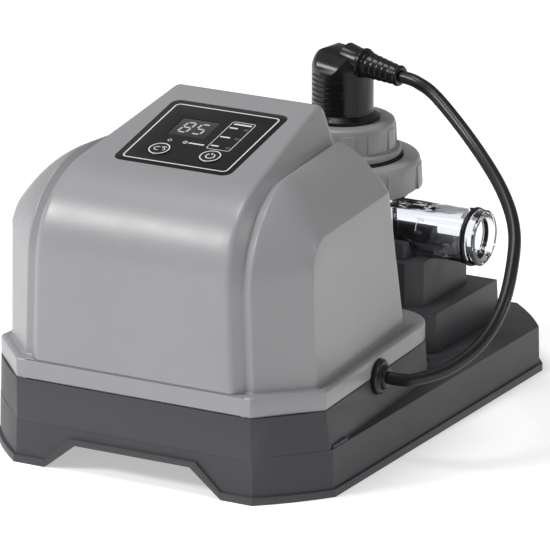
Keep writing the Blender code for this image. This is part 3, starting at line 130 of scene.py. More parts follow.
class Wire:
    """A value in a material, which takes Python's own arithmetic."""

    def __init__(self, tree, socket):
        self.tree = tree
        self.socket = socket

    def add(self, kind, settings=None, sockets=None, out=0):
        """Adds a node: its settings first, then the values or links of its sockets."""
        node = self.tree.nodes.new(kind)
        for name, value in (settings or {}).items():
            if name == "stops":
                for stop in range(len(value) - 2):
                    node.color_ramp.elements.new(0.5)
                for stop, (place, shade) in zip(node.color_ramp.elements, value):
                    stop.position = place
                    stop.color = (shade, shade, shade, 1) if isinstance(shade, float) else shade
            else:
                setattr(node, name, value)
        for name, value in (sockets or {}).items():
            if isinstance(value, Wire):
                self.tree.links.new(value.socket, node.inputs[name])
            else:
                node.inputs[name].default_value = value
        return Wire(self.tree, node.outputs[out])

    def math(self, operation, first, second=None):
        sockets = {0: first} if second is None else {0: first, 1: second}
        return self.add("ShaderNodeMath", {"operation": operation}, sockets)

    def __add__(self, other):
        return self.math("ADD", self, other)

    __radd__ = __add__

    def __sub__(self, other):
        return self.math("SUBTRACT", self, other)

    def __rsub__(self, other):
        return self.math("SUBTRACT", other, self)

    def __mul__(self, other):
        return self.math("MULTIPLY", self, other)

    __rmul__ = __mul__

    def noise(self, scale, detail=2.0, roughness=0.5):
        """Fractal noise read at this place."""
        sockets = {"Vector": self, "Scale": scale, "Detail": detail, "Roughness": roughness}
        return self.add("ShaderNodeTexNoise", sockets=sockets)

    def ramp(self, *stops):
        """Maps this value through grey or coloured stops."""
        return self.add("ShaderNodeValToRGB", {"stops": stops}, {"Fac": self})

    def blend(self, low, high):
        """Mixes two colours by this value."""
        settings = {"data_type": "RGBA"}
        return self.add("ShaderNodeMix", settings, {"Factor": self, 6: low, 7: high}, out=2)


class Finish:
    """A surface finish: a Principled shader, the place on the piece, and what feeds its sockets."""

    def __init__(self, name, colour, roughness, **sockets):
        self.material = bpy.data.materials.new(name)
        self.material.use_nodes = True
        self.tree = self.material.node_tree
        self.shader = self.tree.nodes["Principled BSDF"]
        self.set("Base Color", (*colour, 1.0))
        self.set("Roughness", roughness)
        for socket, value in sockets.items():
            self.set(socket.replace("_", " "), value)
        start = Wire(self.tree, None)
        self.place = start.add("ShaderNodeTexCoord", out="Object")

    def set(self, socket, value):
        if isinstance(value, Wire):
            self.tree.links.new(value.socket, self.shader.inputs[socket])
        else:
            self.shader.inputs[socket].default_value = value

    def bump(self, height, distance, strength=1.0):
        """Raises the surface by a height that runs from 0 to 1, over a distance in metres."""
        sockets = {"Height": height, "Distance": distance, "Strength": strength}
        self.set("Normal", height.add("ShaderNodeBump", sockets=sockets))

    def mottle(self, noise, low, high, spread, least, distance):
        """Lets one noise run the colour, the roughness and the surface."""
        self.set("Base Color", noise.blend((*low, 1), (*high, 1)))
        self.set("Roughness", noise * spread + least)
        self.bump(noise, distance)


def moulded(name, colour, roughness, grain, tone=0.05, scale=900.0, **sockets):
    """Injection-moulded plastic: a fine spark-eroded grain, faint flow tone and handling marks."""
    finish = Finish(name, colour, roughness, **sockets)
    flow = finish.place.noise(14.0, 3.0, 0.6)
    low = (*[part * (1 - tone) for part in colour], 1.0)
    high = (*[min(1.0, part * (1 + tone)) for part in colour], 1.0)
    finish.set("Base Color", flow.ramp((0.3, 0.0), (0.7, 1.0)).blend(low, high))
    rubbed = finish.place.noise(55.0, 4.0, 0.65)
    finish.set("Roughness", rubbed * 0.12 + (roughness - 0.06))
    pores = finish.place.noise(scale, 2.0, 0.5)
    finish.bump(pores, grain)
    return finish


def wear(piece, finish):
    """Gives a piece one material in every slot."""
    piece.data.materials.clear()
    piece.data.materials.append(finish.material)


jacket = moulded(
    "cable_jacket", (0.0075, 0.0075, 0.0085), 0.34, 0.00006, 0.12, 700.0, Specular_IOR_Level=0.42
)
wear(cable, jacket)
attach(cable, "unit")
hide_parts("cell_cable")

# Studio: a plain pale floor, partly self-lit so that it stays pale, and an even white surround.
# The key lamp is high at the front left, a weak one at the right, and a third overhead.


def lamp(name, place, target, size, power):
    light = bpy.data.lights.new(name, "AREA")
    light.shape = "RECTANGLE"
    light.size, light.size_y = size
    light.energy = power
    piece = bpy.data.objects.new(name, light)
    piece.location = place
    piece.rotation_euler = (Vector(target) - Vector(place)).to_track_quat("-Z", "Y").to_euler()
    bpy.context.scene.collection.objects.link(piece)


bpy.ops.object.select_all(action="DESELECT")
bpy.ops.mesh.primitive_plane_add(size=24.0, location=(0, 0, 0))
floor = bpy.context.object
floor.name = "studio_floor"
paper = Finish("floor_paper", (0.90, 0.90, 0.90), 0.9, Emission_Strength=0.42)
paper.set("Emission Color", (1.0, 1.0, 1.0, 1.0))
wear(floor, paper)
world = bpy.data.worlds.new("surround")
world.use_nodes = True
world.node_tree.nodes["Background"].inputs["Color"].default_value = (1.0, 1.0, 1.0, 1.0)
world.node_tree.nodes["Background"].inputs["Strength"].default_value = 0.30
bpy.context.scene.world = world
bpy.context.scene.view_settings.view_transform = "Standard"
lamp("key_lamp", (-1.9, -2.1, 2.1), (0, -0.05, 0.1), (1.1, 0.7), 66.0)
lamp("side_lamp", (2.2, 0.3, 1.1), (0, 0.0, 0.1), (0.7, 0.7), 6.5)
lamp("top_lamp", (-0.5, -0.5, 2.7), (0, 0.0, 0.1), (0.9, 0.9), 26.0)

# Base shell: the tray and the open tub of the housing, one moulding in dark grey ABS. Its edges
# carry the small radius of the tool, and the tray's rim stands proud all round.

EDGE_RADIUS = 0.0007
BASE_COLOUR = (0.0448, 0.0448, 0.0499)


def alone(piece):
    """Selects one piece and nothing else."""
    if bpy.context.mode != "OBJECT":
        bpy.ops.object.mode_set(mode="OBJECT")
    bpy.ops.object.select_all(action="DESELECT")
    piece.select_set(True)
    bpy.context.view_layer.objects.active = piece


def rounded(piece, width, angle=30.0, segments=2, smooth=38.0, clamp=True):
    """Gives the piece's sharp edges a small radius and shades it smooth up to its corners."""
    alone(piece)
    edge = piece.modifiers.new("rounding", "BEVEL")
    edge.width = width
    edge.segments = segments
    edge.limit_method = "ANGLE"
    edge.angle_limit = math.radians(angle)
    edge.use_clamp_overlap = clamp
    bpy.ops.object.modifier_apply(modifier=edge.name)
    bpy.ops.object.shade_smooth_by_angle(angle=math.radians(smooth))


def softened(node, name, width, dissolve=1.0):
    """A moulding on a CAD node's shape: its triangles merged to flat faces, its edges rounded."""
    piece = bpy.data.objects.new(name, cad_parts[node].data.copy())
    bpy.context.scene.collection.objects.link(piece)
    alone(piece)
    if piece.data.has_custom_normals:
        bpy.ops.mesh.customdata_custom_splitnormals_clear()
    bpy.ops.object.mode_set(mode="EDIT")
    bpy.ops.mesh.select_all(action="SELECT")
    bpy.ops.mesh.remove_doubles(threshold=0.00001)
    bpy.ops.mesh.dissolve_limited(angle_limit=math.radians(dissolve))
    bpy.ops.object.mode_set(mode="OBJECT")
    rounded(piece, width)
    return piece


def fit(piece, body, finish, slot, *nodes):
    """Gives a piece its finish and its body, and hides the nodes that it stands for. The slot is not used.
    """
    wear(piece, finish)
    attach(piece, body)
    if nodes:
        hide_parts(*nodes)


def dress(finish, *nodes):
    """Gives CAD nodes that keep their own shape a finish."""
    for node in nodes:
        wear(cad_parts[node], finish)


base_plastic = moulded("base_plastic", BASE_COLOUR, 0.50, 0.00006)
base_moulding = softened("base_shell", "base_moulding", EDGE_RADIUS)
fit(base_moulding, "unit", base_plastic, "base_grey_plastic", "base_shell")

# Floor plate, rubber feet and zinc-plated screws: the plate is a moulding that closes the tray from
# below, and the screws hold it, the cover and the cradle.

floor_plastic = moulded("floor_plate_plastic", (0.060, 0.060, 0.066), 0.60, 0.00010, 0.08, 500.0)
dress(floor_plastic, "bottom_plate")
foot_rubber = moulded("foot_rubber", (0.022, 0.022, 0.022), 0.80, 0.00015, 0.20, 350.0)
zinc = Finish("zinc_plated_steel", (0.58, 0.59, 0.61), 0.30, Metallic=1.0)
zinc_stain = zinc.place.noise(160.0, 3.0, 0.6)
zinc.set("Base Color", zinc_stain.blend((0.50, 0.51, 0.53, 1), (0.66, 0.66, 0.64, 1)))
zinc.set("Roughness", zinc_stain * 0.25 + 0.20)
zinc.bump(zinc.place.noise(1400.0, 2.0), 0.00003)
for side in ("left", "right"):
    for end in ("front", "rear"):
        dress(foot_rubber, f"foot_{end}_{side}")
        dress(zinc, *(f"{kind}_screw_{end}_{side}" for kind in ("floor", "cover", "cradle")))

# Transformer: a stack of varnished steel laminations, with a coil under amber tape. Both are inside
# the housing and are not seen when it is closed.

laminations = Finish("laminations", (0.20, 0.20, 0.21), 0.40, Metallic=0.85)
sheets = laminations.place.add(
    "ShaderNodeTexWave",
    {"wave_type": "BANDS", "bands_direction": "Y"},
    {"Vector": laminations.place, "Scale": 300.0, "Distortion": 0.4, "Detail": 1.0},
)
laminations.set("Base Color", sheets.ramp((0.1, (0.05, 0.035, 0.03, 1)), (0.8, (0.26, 0.25, 0.25, 1))))
laminations.set("Roughness", sheets * -0.2 + 0.55)
laminations.bump(sheets, 0.00012)
dress(laminations, "transformer_core")
tape = Finish("coil_tape", (0.62, 0.44, 0.06), 0.38)
laps = tape.place.add(
    "ShaderNodeTexWave",
    {"wave_type": "BANDS", "bands_direction": "Z", "wave_profile": "SAW"},
    {"Vector": tape.place, "Scale": 26.0, "Distortion": 0.6, "Detail": 1.0},
)
tape.set("Base Color", laps.ramp((0.0, (0.70, 0.50, 0.09, 1)), (0.9, (0.50, 0.33, 0.04, 1))))
tape.set("Roughness", tape.place.noise(90.0) * 0.2 + 0.28)
tape.bump(laps, 0.00020)
dress(tape, "transformer_coil")

# Circuit boards and terminal block: green solder mask with the tracks showing a little lighter
# through it, and a green nylon block.

solder_mask = Finish("solder_mask", (0.015, 0.14, 0.05), 0.32)
tracks = solder_mask.place.add(
    "ShaderNodeTexBrick",
    {"offset": 0.35, "squash": 1.6},
    {"Vector": solder_mask.place, "Scale": 95.0, "Mortar Size": 0.07, "Mortar Smooth": 0.2},
    out="Fac",
)
solder_mask.set("Base Color", tracks.blend((0.012, 0.12, 0.045, 1), (0.03, 0.24, 0.08, 1)))
solder_mask.set("Roughness", solder_mask.place.noise(300.0) * 0.15 + 0.25)
solder_mask.bump(tracks, 0.00005)
dress(solder_mask, "control_board", "power_board")
terminal_nylon = moulded("terminal_nylon", (0.03, 0.23, 0.09), 0.45, 0.00008, 0.10, 800.0)
dress(terminal_nylon, "terminal_block")

# Cable glands: moulded rubber grommets, one for the cell's cable and one for the mains inlet. Each
# has a round flange against the housing, and a stepped nose that grips the cable.

CLEARANCE = 0.0003
FLANGE_RADIUS = 0.0110
FLANGE_THICKNESS = 0.0040
NOSE_RADIUS = 0.0064
NOSE_LENGTH = 0.0032
NECK_RADIUS = 0.0080


def spun(name, profile, sides, place=(0, 0, 0), turn=None, start=0.0, sweep=2 * math.pi):
    """A piece turned on the lathe: (radius, height) points of its outline spun about its axis."""
    corners = [(radius * math.cos(start), radius * math.sin(start), z) for radius, z in profile]
    edges = [(index, index + 1) for index in range(len(corners) - 1)]
    if profile[0][0] > 0:
        edges.append((len(corners) - 1, 0))
    mesh = bpy.data.meshes.new(name)
    mesh.from_pydata(corners, edges, [])
    piece = bpy.data.objects.new(name, mesh)
    bpy.context.scene.collection.objects.link(piece)
    alone(piece)
    bpy.ops.object.mode_set(mode="EDIT")
    bpy.ops.mesh.select_all(action="SELECT")
    bpy.ops.mesh.spin(steps=sides, angle=-sweep, center=(0, 0, 0), axis=(0, 0, 1))
    bpy.ops.mesh.select_all(action="SELECT")
    bpy.ops.mesh.remove_doubles(threshold=0.000005)
    if sweep < 6.28:
        bpy.ops.mesh.edge_face_add()
        bpy.ops.mesh.select_all(action="SELECT")
    bpy.ops.mesh.normals_make_consistent(inside=False)
    bpy.ops.object.mode_set(mode="OBJECT")
    mesh.transform(Matrix.Translation(place) @ (turn.to_4x4() if turn else Matrix()))
    return piece


rubber = moulded(
    "black_rubber", (0.0055, 0.0055, 0.0060), 0.36, 0.00006, 0.20, 600.0, Specular_IOR_Level=0.38
)
gland_profile = [
    (0, -0.0085),
    (FLANGE_RADIUS - 0.0010, -0.0085),
    (FLANGE_RADIUS - 0.0010, -0.0042),
    (NECK_RADIUS, -0.0042),
    (NECK_RADIUS, 0.0),
    (FLANGE_RADIUS, 0.0),
    (FLANGE_RADIUS, FLANGE_THICKNESS - 0.0012),
    (FLANGE_RADIUS - 0.0016, FLANGE_THICKNESS),
    (NOSE_RADIUS + 0.0016, FLANGE_THICKNESS),
    (NOSE_RADIUS + 0.0008, FLANGE_THICKNESS + NOSE_LENGTH * 0.35),
    (NOSE_RADIUS + 0.0008, FLANGE_THICKNESS + NOSE_LENGTH * 0.6),
    (NOSE_RADIUS, FLANGE_THICKNESS + NOSE_LENGTH),
    (0, FLANGE_THICKNESS + NOSE_LENGTH),
]
GLAND_SIDES = {"cable_gland": 1, "mains_gland": -1}


def gland_seat(side):
    """Where a gland's flange sits on one side of the housing, and the turn that faces it outward."""
    outward = Vector((gland_outward.x * side, gland_outward.y, 0.0))
    nose_end = cable_end - gland_outward * CLEARANCE
    seat = Vector((nose_end.x * side, nose_end.y, nose_end.z))
    seat -= outward * (FLANGE_THICKNESS + NOSE_LENGTH)
    return seat, outward.to_track_quat("Z", "Y").to_matrix()


for name, side in GLAND_SIDES.items():
    grommet = spun(f"{name}_grommet", gland_profile, 64, *gland_seat(side))
    rounded(grommet, 0.0004, segments=3)
    fit(grommet, "unit", rubber, "plug_black", name)

# Cradle: dark grey moulding screwed to the deck. Plinth, block and saddle carry the cell's cup,
# and a ramp runs down to the rear edge.

cradle_moulding = softened("cell_cradle", "cradle_moulding", 0.0006)
fit(cradle_moulding, "unit", base_plastic, "base_grey_plastic", "cell_cradle")

# Cell housing: the cup and its water tube, moulded together in clear acrylic. Near each end of the
# tube a low ring stands on both sides of a groove, and small bracket-shaped lugs stand on the tube.

cup_low, cup_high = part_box("cell_housing")
AXIS_Y = (cup_low.y + cup_high.y) / 2
TUBE_HALF = cup_high.x
TUBE_HEIGHT = 0.0994
TUBE_RADIUS = 0.0175
TUBE_BORE = 0.0136
CUP_RADIUS = 0.0365
CUP_WALL = 0.0035
COLLAR_RADIUS = 0.0436
COLLAR_BOTTOM = 0.1160
RING_PLACE = 0.0072
across = Matrix.Rotation(math.pi / 2, 3, "Y")
tube_at = (0, AXIS_Y, TUBE_HEIGHT)
cell_axis = (0, AXIS_Y, 0)


def combined(piece, tool, operation, solver="EXACT"):
    """Joins a second shape to a piece, or cuts it out."""
    alone(piece)
    step = piece.modifiers.new("tool", "BOOLEAN")
    step.solver = solver
    step.operation = operation
    step.object = tool
    bpy.ops.object.modifier_apply(modifier=step.name)
    bpy.data.objects.remove(tool)


cup = spun("cell_housing_clear", [
    (0, cup_low.z),
    (CUP_RADIUS - 0.0040, cup_low.z),
    (CUP_RADIUS - 0.0012, cup_low.z + 0.0012),
    (CUP_RADIUS, cup_low.z + 0.0040),
    (CUP_RADIUS, COLLAR_BOTTOM - 0.0010),
    (CUP_RADIUS + 0.0010, COLLAR_BOTTOM),
    (COLLAR_RADIUS - 0.0008, COLLAR_BOTTOM),
    (COLLAR_RADIUS, COLLAR_BOTTOM + 0.0008),
    (COLLAR_RADIUS, cup_high.z),
    (0, cup_high.z),
], 96, cell_axis)
groove_low = TUBE_HALF - RING_PLACE - 0.0021
groove_high = TUBE_HALF - RING_PLACE + 0.0021
half_profile = [
    (TUBE_RADIUS - 0.0007, TUBE_HALF),
    (TUBE_RADIUS + 0.0004, TUBE_HALF - 0.0008),
    (TUBE_RADIUS + 0.0005, groove_high),
    (TUBE_RADIUS - 0.0012, groove_high),
    (TUBE_RADIUS - 0.0012, groove_low),
    (TUBE_RADIUS + 0.0005, groove_low),
    (TUBE_RADIUS + 0.0005, groove_low - 0.0026),
    (TUBE_RADIUS, groove_low - 0.0030),
]
tube_profile = [(0, TUBE_HALF)] + half_profile
tube_profile += [(radius, -place) for radius, place in reversed(half_profile)] + [(0, -TUBE_HALF)]
combined(cup, spun("tube", tube_profile, 96, tube_at, across), "UNION")
bore = [(0, cup_low.z + CUP_WALL), (CUP_RADIUS - CUP_WALL, cup_low.z + CUP_WALL)]
bore += [(CUP_RADIUS - CUP_WALL, cup_high.z + 0.01), (0, cup_high.z + 0.01)]
combined(cup, spun("cup_bore", bore, 96, cell_axis), "DIFFERENCE")
bore = [(0, -0.11), (TUBE_BORE, -0.11), (TUBE_BORE, 0.11), (0, 0.11)]
combined(cup, spun("tube_bore", bore, 96, tube_at, across), "DIFFERENCE")
rounded(cup, 0.00035, 35.0, 2, 35.0)
LUG_PLACES = ((0.0620, -112.0), (0.0800, -40.0), (-0.0620, -112.0), (-0.0800, -40.0))
for place, facing in LUG_PLACES:
    for low, high, reach in ((-15.0, 15.0, 0.0008), (-15.0, -11.0, 0.0040), (11.0, 15.0, 0.0040)):
        start = math.radians(facing + low)
        outline = [
            (TUBE_RADIUS - 0.0003, place),
            (TUBE_RADIUS + 0.0008, place),
            (TUBE_RADIUS + 0.0008, place + reach),
            (TUBE_RADIUS - 0.0003, place + reach),
        ]
        lug = spun("lug", outline, 6, tube_at, across, start, math.radians(high - low))
        combined(cup, lug, "UNION")
clear = Finish("clear_acrylic", (0.93, 0.95, 0.98), 0.04, Transmission_Weight=1.0, IOR=1.49)
clear.set("Roughness", clear.place.noise(70.0, 3.0, 0.6) * 0.05 + 0.02)
clear.set("Base Color", clear.place.noise(20.0).blend((0.90, 0.92, 0.96, 1), (0.96, 0.97, 0.99, 1)))
clear.bump(clear.place.noise(45.0, 2.0, 0.4), 0.00008)
fit(cup, "unit", clear, "clear_plastic", "cell_housing")

# Hose O-rings: two black rubber rings, one in the groove near each end of the tube. They stand
# about a millimetre above the rings on both sides of the groove.

for side, side_name in ((-1, "left"), (1, "right")):
    middle = side * (TUBE_HALF - RING_PLACE)
    section = []
    for step in range(12):
        angle = 2 * math.pi * step / 12
        section.append((TUBE_RADIUS + 0.0002 + 0.00125 * math.sin(angle), middle + 0.0016 * math.cos(angle)))
    ring = spun(f"hose_oring_{side_name}", section, 96, tube_at, across)
    rounded(ring, 0.0001, 60.0, 1, 60.0)
    fit(ring, "unit", rubber, "seal_rubber", f"tube_oring_{side_name}")

# Electrode: coated titanium plates in a black moulded head, with a comb that spaces them, and brass
# contact pins that stand up into the plug.

coating = Finish("plate_coating", (0.16, 0.15, 0.15), 0.62, Metallic=0.65)
bloom = coating.place.noise(220.0, 5.0, 0.7)
coating.set("Base Color", bloom.ramp((0.3, (0.08, 0.075, 0.08, 1)), (0.7, (0.26, 0.25, 0.24, 1))))
coating.set("Roughness", bloom * 0.3 + 0.45)
coating.bump(bloom, 0.00008)
dress(coating, *(f"electrode_plate_{index}" for index in range(1, 6)))
brass = Finish("pin_brass", (0.72, 0.53, 0.24), 0.25, Metallic=1.0)
tarnish = brass.place.noise(300.0, 3.0)
brass.mottle(tarnish, (0.55, 0.38, 0.16), (0.80, 0.60, 0.28), 0.3, 0.12, 0.00002)
dress(brass, *(f"contact_pin_{index}" for index in range(1, 4)))
black_nylon = moulded("black_nylon", (0.016, 0.016, 0.018), 0.42, 0.00006, 0.15, 900.0)
dress(black_nylon, "electrode_head", "plate_spacer", "plug_socket")
dress(rubber, "head_oring", "plug_seal")

# Union nut and its slip ring: the grey nut pulls the electrode's head down on the clear collar.
# Ten broad grip pads stand out from its wall, flush at the top and proud at the bottom.

UNION_PADS = 10
UNION_FIRST = math.radians(-26.9)
UNION_RADIUS = 0.0500
UNION_PROUD = 0.0014
nut_low, nut_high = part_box("electrode_nut")
ring_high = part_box("union_slip_ring")[1]
UNION_BORE = 0.0386
nut_plastic = moulded("nut_plastic", (0.285, 0.285, 0.292), 0.42, 0.00006)


def with_pads(piece, pads, first, radius, low, high, proud, taper):
    """Draws a nut's grip pads out of its wall: half of each pitch, between two heights."""
    mesh = piece.data
    alone(piece)
    bpy.ops.object.mode_set(mode="EDIT")
    bpy.ops.mesh.select_mode(type="FACE")
    bpy.ops.mesh.select_all(action="DESELECT")
    bpy.ops.object.mode_set(mode="OBJECT")
    for polygon in mesh.polygons:
        middle = Vector(polygon.center) - Vector((0, AXIS_Y, 0))
        angle = (math.atan2(middle.y, middle.x) - first) / (2 * math.pi) * pads
        outside = abs(Vector((middle.x, middle.y)).length - radius) < 0.0004
        polygon.select = outside and angle % 1.0 < 0.5 and low < middle.z < high
    bpy.ops.object.mode_set(mode="EDIT")
    bpy.ops.mesh.extrude_region_shrink_fatten(TRANSFORM_OT_shrink_fatten={"value": proud})
    bpy.ops.mesh.select_mode(type="VERT")
    bpy.ops.object.mode_set(mode="OBJECT")
    for corner in mesh.vertices:
        away = Vector((corner.co.x, corner.co.y - AXIS_Y))
        if corner.select and corner.co.z > high - 0.0030 and away.length > radius + 0.0002:
            away *= (radius + proud * taper) / away.length
            corner.co.x, corner.co.y = away.x, AXIS_Y + away.y


union_nut = spun("electrode_nut_grip", [
    (COLLAR_RADIUS + 0.0006, nut_low.z),
    (UNION_RADIUS - 0.0006, nut_low.z),
    (UNION_RADIUS, nut_low.z + 0.0006),
    (UNION_RADIUS, nut_high.z - 0.0042),
    (UNION_RADIUS - 0.0004, nut_high.z - 0.0022),
    (UNION_RADIUS - 0.0014, nut_high.z - 0.0008),
    (UNION_RADIUS - 0.0030, nut_high.z - 0.0001),
    (UNION_RADIUS - 0.0050, nut_high.z),
    (UNION_BORE + 0.0006, nut_high.z),
    (UNION_BORE, nut_high.z - 0.0006),
    (UNION_BORE, ring_high.z + CLEARANCE),
    (COLLAR_RADIUS + 0.0006, ring_high.z + CLEARANCE),
], 16 * UNION_PADS, cell_axis, None, UNION_FIRST)
with_pads(union_nut, UNION_PADS, UNION_FIRST, UNION_RADIUS, nut_low.z + 0.0004, nut_high.z - 0.0040,
          UNION_PROUD, 0.35)
rounded(union_nut, 0.0006, 34.0, 3, 30.0)
fit(union_nut, "electrode_nut", nut_plastic, "nut_grey_plastic", "electrode_nut")
acetal = moulded("white_acetal", (0.60, 0.61, 0.62), 0.38, 0.00004, 0.03, 900.0)
dress(acetal, "union_slip_ring")

# Lock nut: the smaller grey nut that holds the plug down on the electrode's neck. Twelve pads stand
# between a plain ring at the top and a flange at the bottom.

LOCK_PADS = 12
LOCK_FIRST = math.radians(-33.4)
LOCK_RADIUS = 0.0338
LOCK_PROUD = 0.0010
LOCK_BORE = 0.0210
NECK_BORE = 0.0286
LOCK_FLANGE = 0.0376
LOCK_FLANGE_TOP = 0.1470
LOCK_CEILING = 0.1602
lock_low, lock_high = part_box("plug_nut")
lock_nut = spun("plug_nut_grip", [
    (NECK_BORE, lock_low.z),
    (LOCK_FLANGE - 0.0005, lock_low.z),
    (LOCK_FLANGE, lock_low.z + 0.0006),
    (LOCK_FLANGE, LOCK_FLANGE_TOP - 0.0012),
    (LOCK_FLANGE - 0.0010, LOCK_FLANGE_TOP),
    (LOCK_RADIUS + 0.0014, LOCK_FLANGE_TOP),
    (LOCK_RADIUS, LOCK_FLANGE_TOP + 0.0012),
    (LOCK_RADIUS, lock_high.z - 0.0040),
    (LOCK_RADIUS, lock_high.z - 0.0026),
    (LOCK_RADIUS - 0.0006, lock_high.z - 0.0010),
    (LOCK_RADIUS - 0.0020, lock_high.z),
    (LOCK_BORE + 0.0004, lock_high.z),
    (LOCK_BORE, lock_high.z - 0.0004),
    (LOCK_BORE, LOCK_CEILING),
    (NECK_BORE, LOCK_CEILING),
], 12 * LOCK_PADS, cell_axis, None, LOCK_FIRST)
with_pads(lock_nut, LOCK_PADS, LOCK_FIRST, LOCK_RADIUS, LOCK_FLANGE_TOP + 0.0014,
          lock_high.z - 0.0038, LOCK_PROUD, 0.45)
rounded(lock_nut, 0.0005, 34.0, 3, 30.0)
fit(lock_nut, "plug_nut", nut_plastic, "nut_grey_plastic", "plug_nut")

# Right-angle plug: a gloss black moulding. A round body with fine grip lines on two sides turns at
# the top into a faceted barrel that lies along the cable.

PLUG_RADIUS = 0.0198
PLUG_FLANGE = 0.0240
PLUG_FLANGE_TOP = 0.1702
PLUG_FOOT = 0.0270
PLUG_BLANK_TOP = 0.2160
PLUG_NECK = 0.0205
BARREL_RADIUS = 0.0206
BARREL_HALF = 0.0300
BARREL_HEIGHT = 0.1914
BARREL_TILT = math.radians(94.0)
BARREL_SIDES = 16
GRIP_LINES = 8
GRIP_PITCH = 0.0033
GRIP_FIRST = 0.1718
GRIP_HALF = math.radians(37.0)
RELIEF_LENGTH = 0.0280


def extruded(name, corners, rise):
    """A solid drawn straight out of one flat outline."""
    mesh = bpy.data.meshes.new(name)
    mesh.from_pydata(corners, [], [tuple(range(len(corners)))])
    piece = bpy.data.objects.new(name, mesh)
    bpy.context.scene.collection.objects.link(piece)
    alone(piece)
    bpy.ops.object.mode_set(mode="EDIT")
    bpy.ops.mesh.select_all(action="SELECT")
    bpy.ops.mesh.extrude_region_move(TRANSFORM_OT_translate={"value": tuple(rise)})
    bpy.ops.mesh.select_all(action="SELECT")
    bpy.ops.mesh.normals_make_consistent(inside=False)
    bpy.ops.object.mode_set(mode="OBJECT")
    return piece


plug_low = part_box("plug_body")[0]
lead_angle = math.atan2(relief_along.y, relief_along.x)
relief_at = cable_start - relief_along * (RELIEF_LENGTH + CLEARANCE)
along_lead = relief_along.to_track_quat("Z", "X").to_matrix()
plug = spun("plug_moulding", [
    (0, plug_low.z),
    (PLUG_FOOT, plug_low.z),
    (PLUG_FOOT, plug_low.z + 0.0036),
    (PLUG_NECK, plug_low.z + 0.0036),
    (PLUG_NECK, lock_high.z + CLEARANCE),
    (PLUG_FLANGE, lock_high.z + CLEARANCE),
    (PLUG_FLANGE, PLUG_FLANGE_TOP - 0.0018),
    (PLUG_FLANGE - 0.0014, PLUG_FLANGE_TOP - 0.0002),
    (PLUG_RADIUS + 0.0016, PLUG_FLANGE_TOP),
    (PLUG_RADIUS, PLUG_FLANGE_TOP + 0.0012),
    (PLUG_RADIUS, PLUG_BLANK_TOP),
    (0, PLUG_BLANK_TOP),
], 96, cell_axis)
barrel_turn = Matrix.Rotation(lead_angle, 3, "Z") @ Matrix.Rotation(BARREL_TILT, 3, "Y")
barrel = spun("barrel", [
    (0, -BARREL_HALF),
    (BARREL_RADIUS, -BARREL_HALF),
    (BARREL_RADIUS, BARREL_HALF),
    (0, BARREL_HALF),
], BARREL_SIDES, (0, AXIS_Y, BARREL_HEIGHT), barrel_turn @ Matrix.Rotation(math.pi / BARREL_SIDES, 3, "Z"))
rounded(barrel, 0.0022, 15.0, 4, 30.0)
below_barrel = [(0, 0.15), (0.04, 0.15), (0.04, BARREL_HEIGHT), (0, BARREL_HEIGHT)]
combined(barrel, spun("below_barrel", below_barrel, 48, cell_axis), "UNION")
combined(plug, barrel, "INTERSECT")
CROWN_REAR = -0.0202
CROWN_RADIUS = 0.0160
CROWN_BEND = 0.1955
crown = [(CROWN_REAR, 0.150), (CROWN_REAR, CROWN_BEND)]
for step in range(1, 17):
    angle = math.pi - math.pi / 2 * step / 16
    x = CROWN_REAR + CROWN_RADIUS + CROWN_RADIUS * math.cos(angle)
    crown.append((x, CROWN_BEND + CROWN_RADIUS * math.sin(angle)))
crown += [(0.0300, 0.2080), (0.0300, 0.150)]
lead_flat = Vector((math.cos(lead_angle), math.sin(lead_angle), 0))
lead_side = Vector((-lead_flat.y, lead_flat.x, 0))
HOOD_HALF = 0.03
hood_corners = [
    Vector(cell_axis) + lead_flat * x - lead_side * HOOD_HALF + Vector((0, 0, z)) for x, z in crown
]
combined(plug, extruded("hood", hood_corners, lead_side * (2 * HOOD_HALF)), "INTERSECT")
DOME_BEND = 0.1965
DOME_RISE = 0.0150
DOME_FLAT = 0.0088
DOME_ROUND = 0.0112
dome = [(0, 0.150), (0.0300, 0.150), (0.0300, 0.163), (PLUG_RADIUS + 0.0002, 0.170)]
dome += [(PLUG_RADIUS + 0.0002, DOME_BEND)]
for step in range(1, 13):
    angle = math.pi / 2 * step / 12
    dome.append((DOME_FLAT + DOME_ROUND * math.cos(angle), DOME_BEND + DOME_RISE * math.sin(angle)))
combined(plug, spun("dome", dome + [(0, 0.2116)], 96, cell_axis), "INTERSECT")
collar = spun("collar", [
    (0, -0.0150),
    (0.0098, -0.0150),
    (0.0088, -0.0060),
    (0.0090, -0.0034),
    (0.0099, -0.0024),
    (0.0099, -0.0010),
    (0.0090, 0.0004),
    (0, 0.0004),
], 48, relief_at, along_lead)
combined(plug, collar, "UNION")
for facing in (lead_angle - math.pi / 2, lead_angle + math.pi / 2):
    for line in range(GRIP_LINES):
        z = GRIP_FIRST + line * GRIP_PITCH
        ridge = [(PLUG_RADIUS - 0.0004, z - 0.0004), (PLUG_RADIUS + 0.0007, z - 0.0001)]
        ridge += [(PLUG_RADIUS + 0.0007, z + 0.0001), (PLUG_RADIUS - 0.0004, z + 0.0004)]
        grip = spun("grip", ridge, 20, cell_axis, None, facing - GRIP_HALF, 2 * GRIP_HALF)
        combined(plug, grip, "UNION")
rounded(plug, 0.0007, 24.0, 3, 30.0)
plug_black = moulded(
    "plug_black_gloss", (0.0055, 0.0055, 0.0060), 0.27, 0.00004, 0.15, 500.0, Specular_IOR_Level=0.36
)
fit(plug, "unit", plug_black, "plug_black", "plug_body")

# Strain relief: a soft black taper moulded on the cable. Five rings, joined by webs above and below,
# leave four open slots in each side.

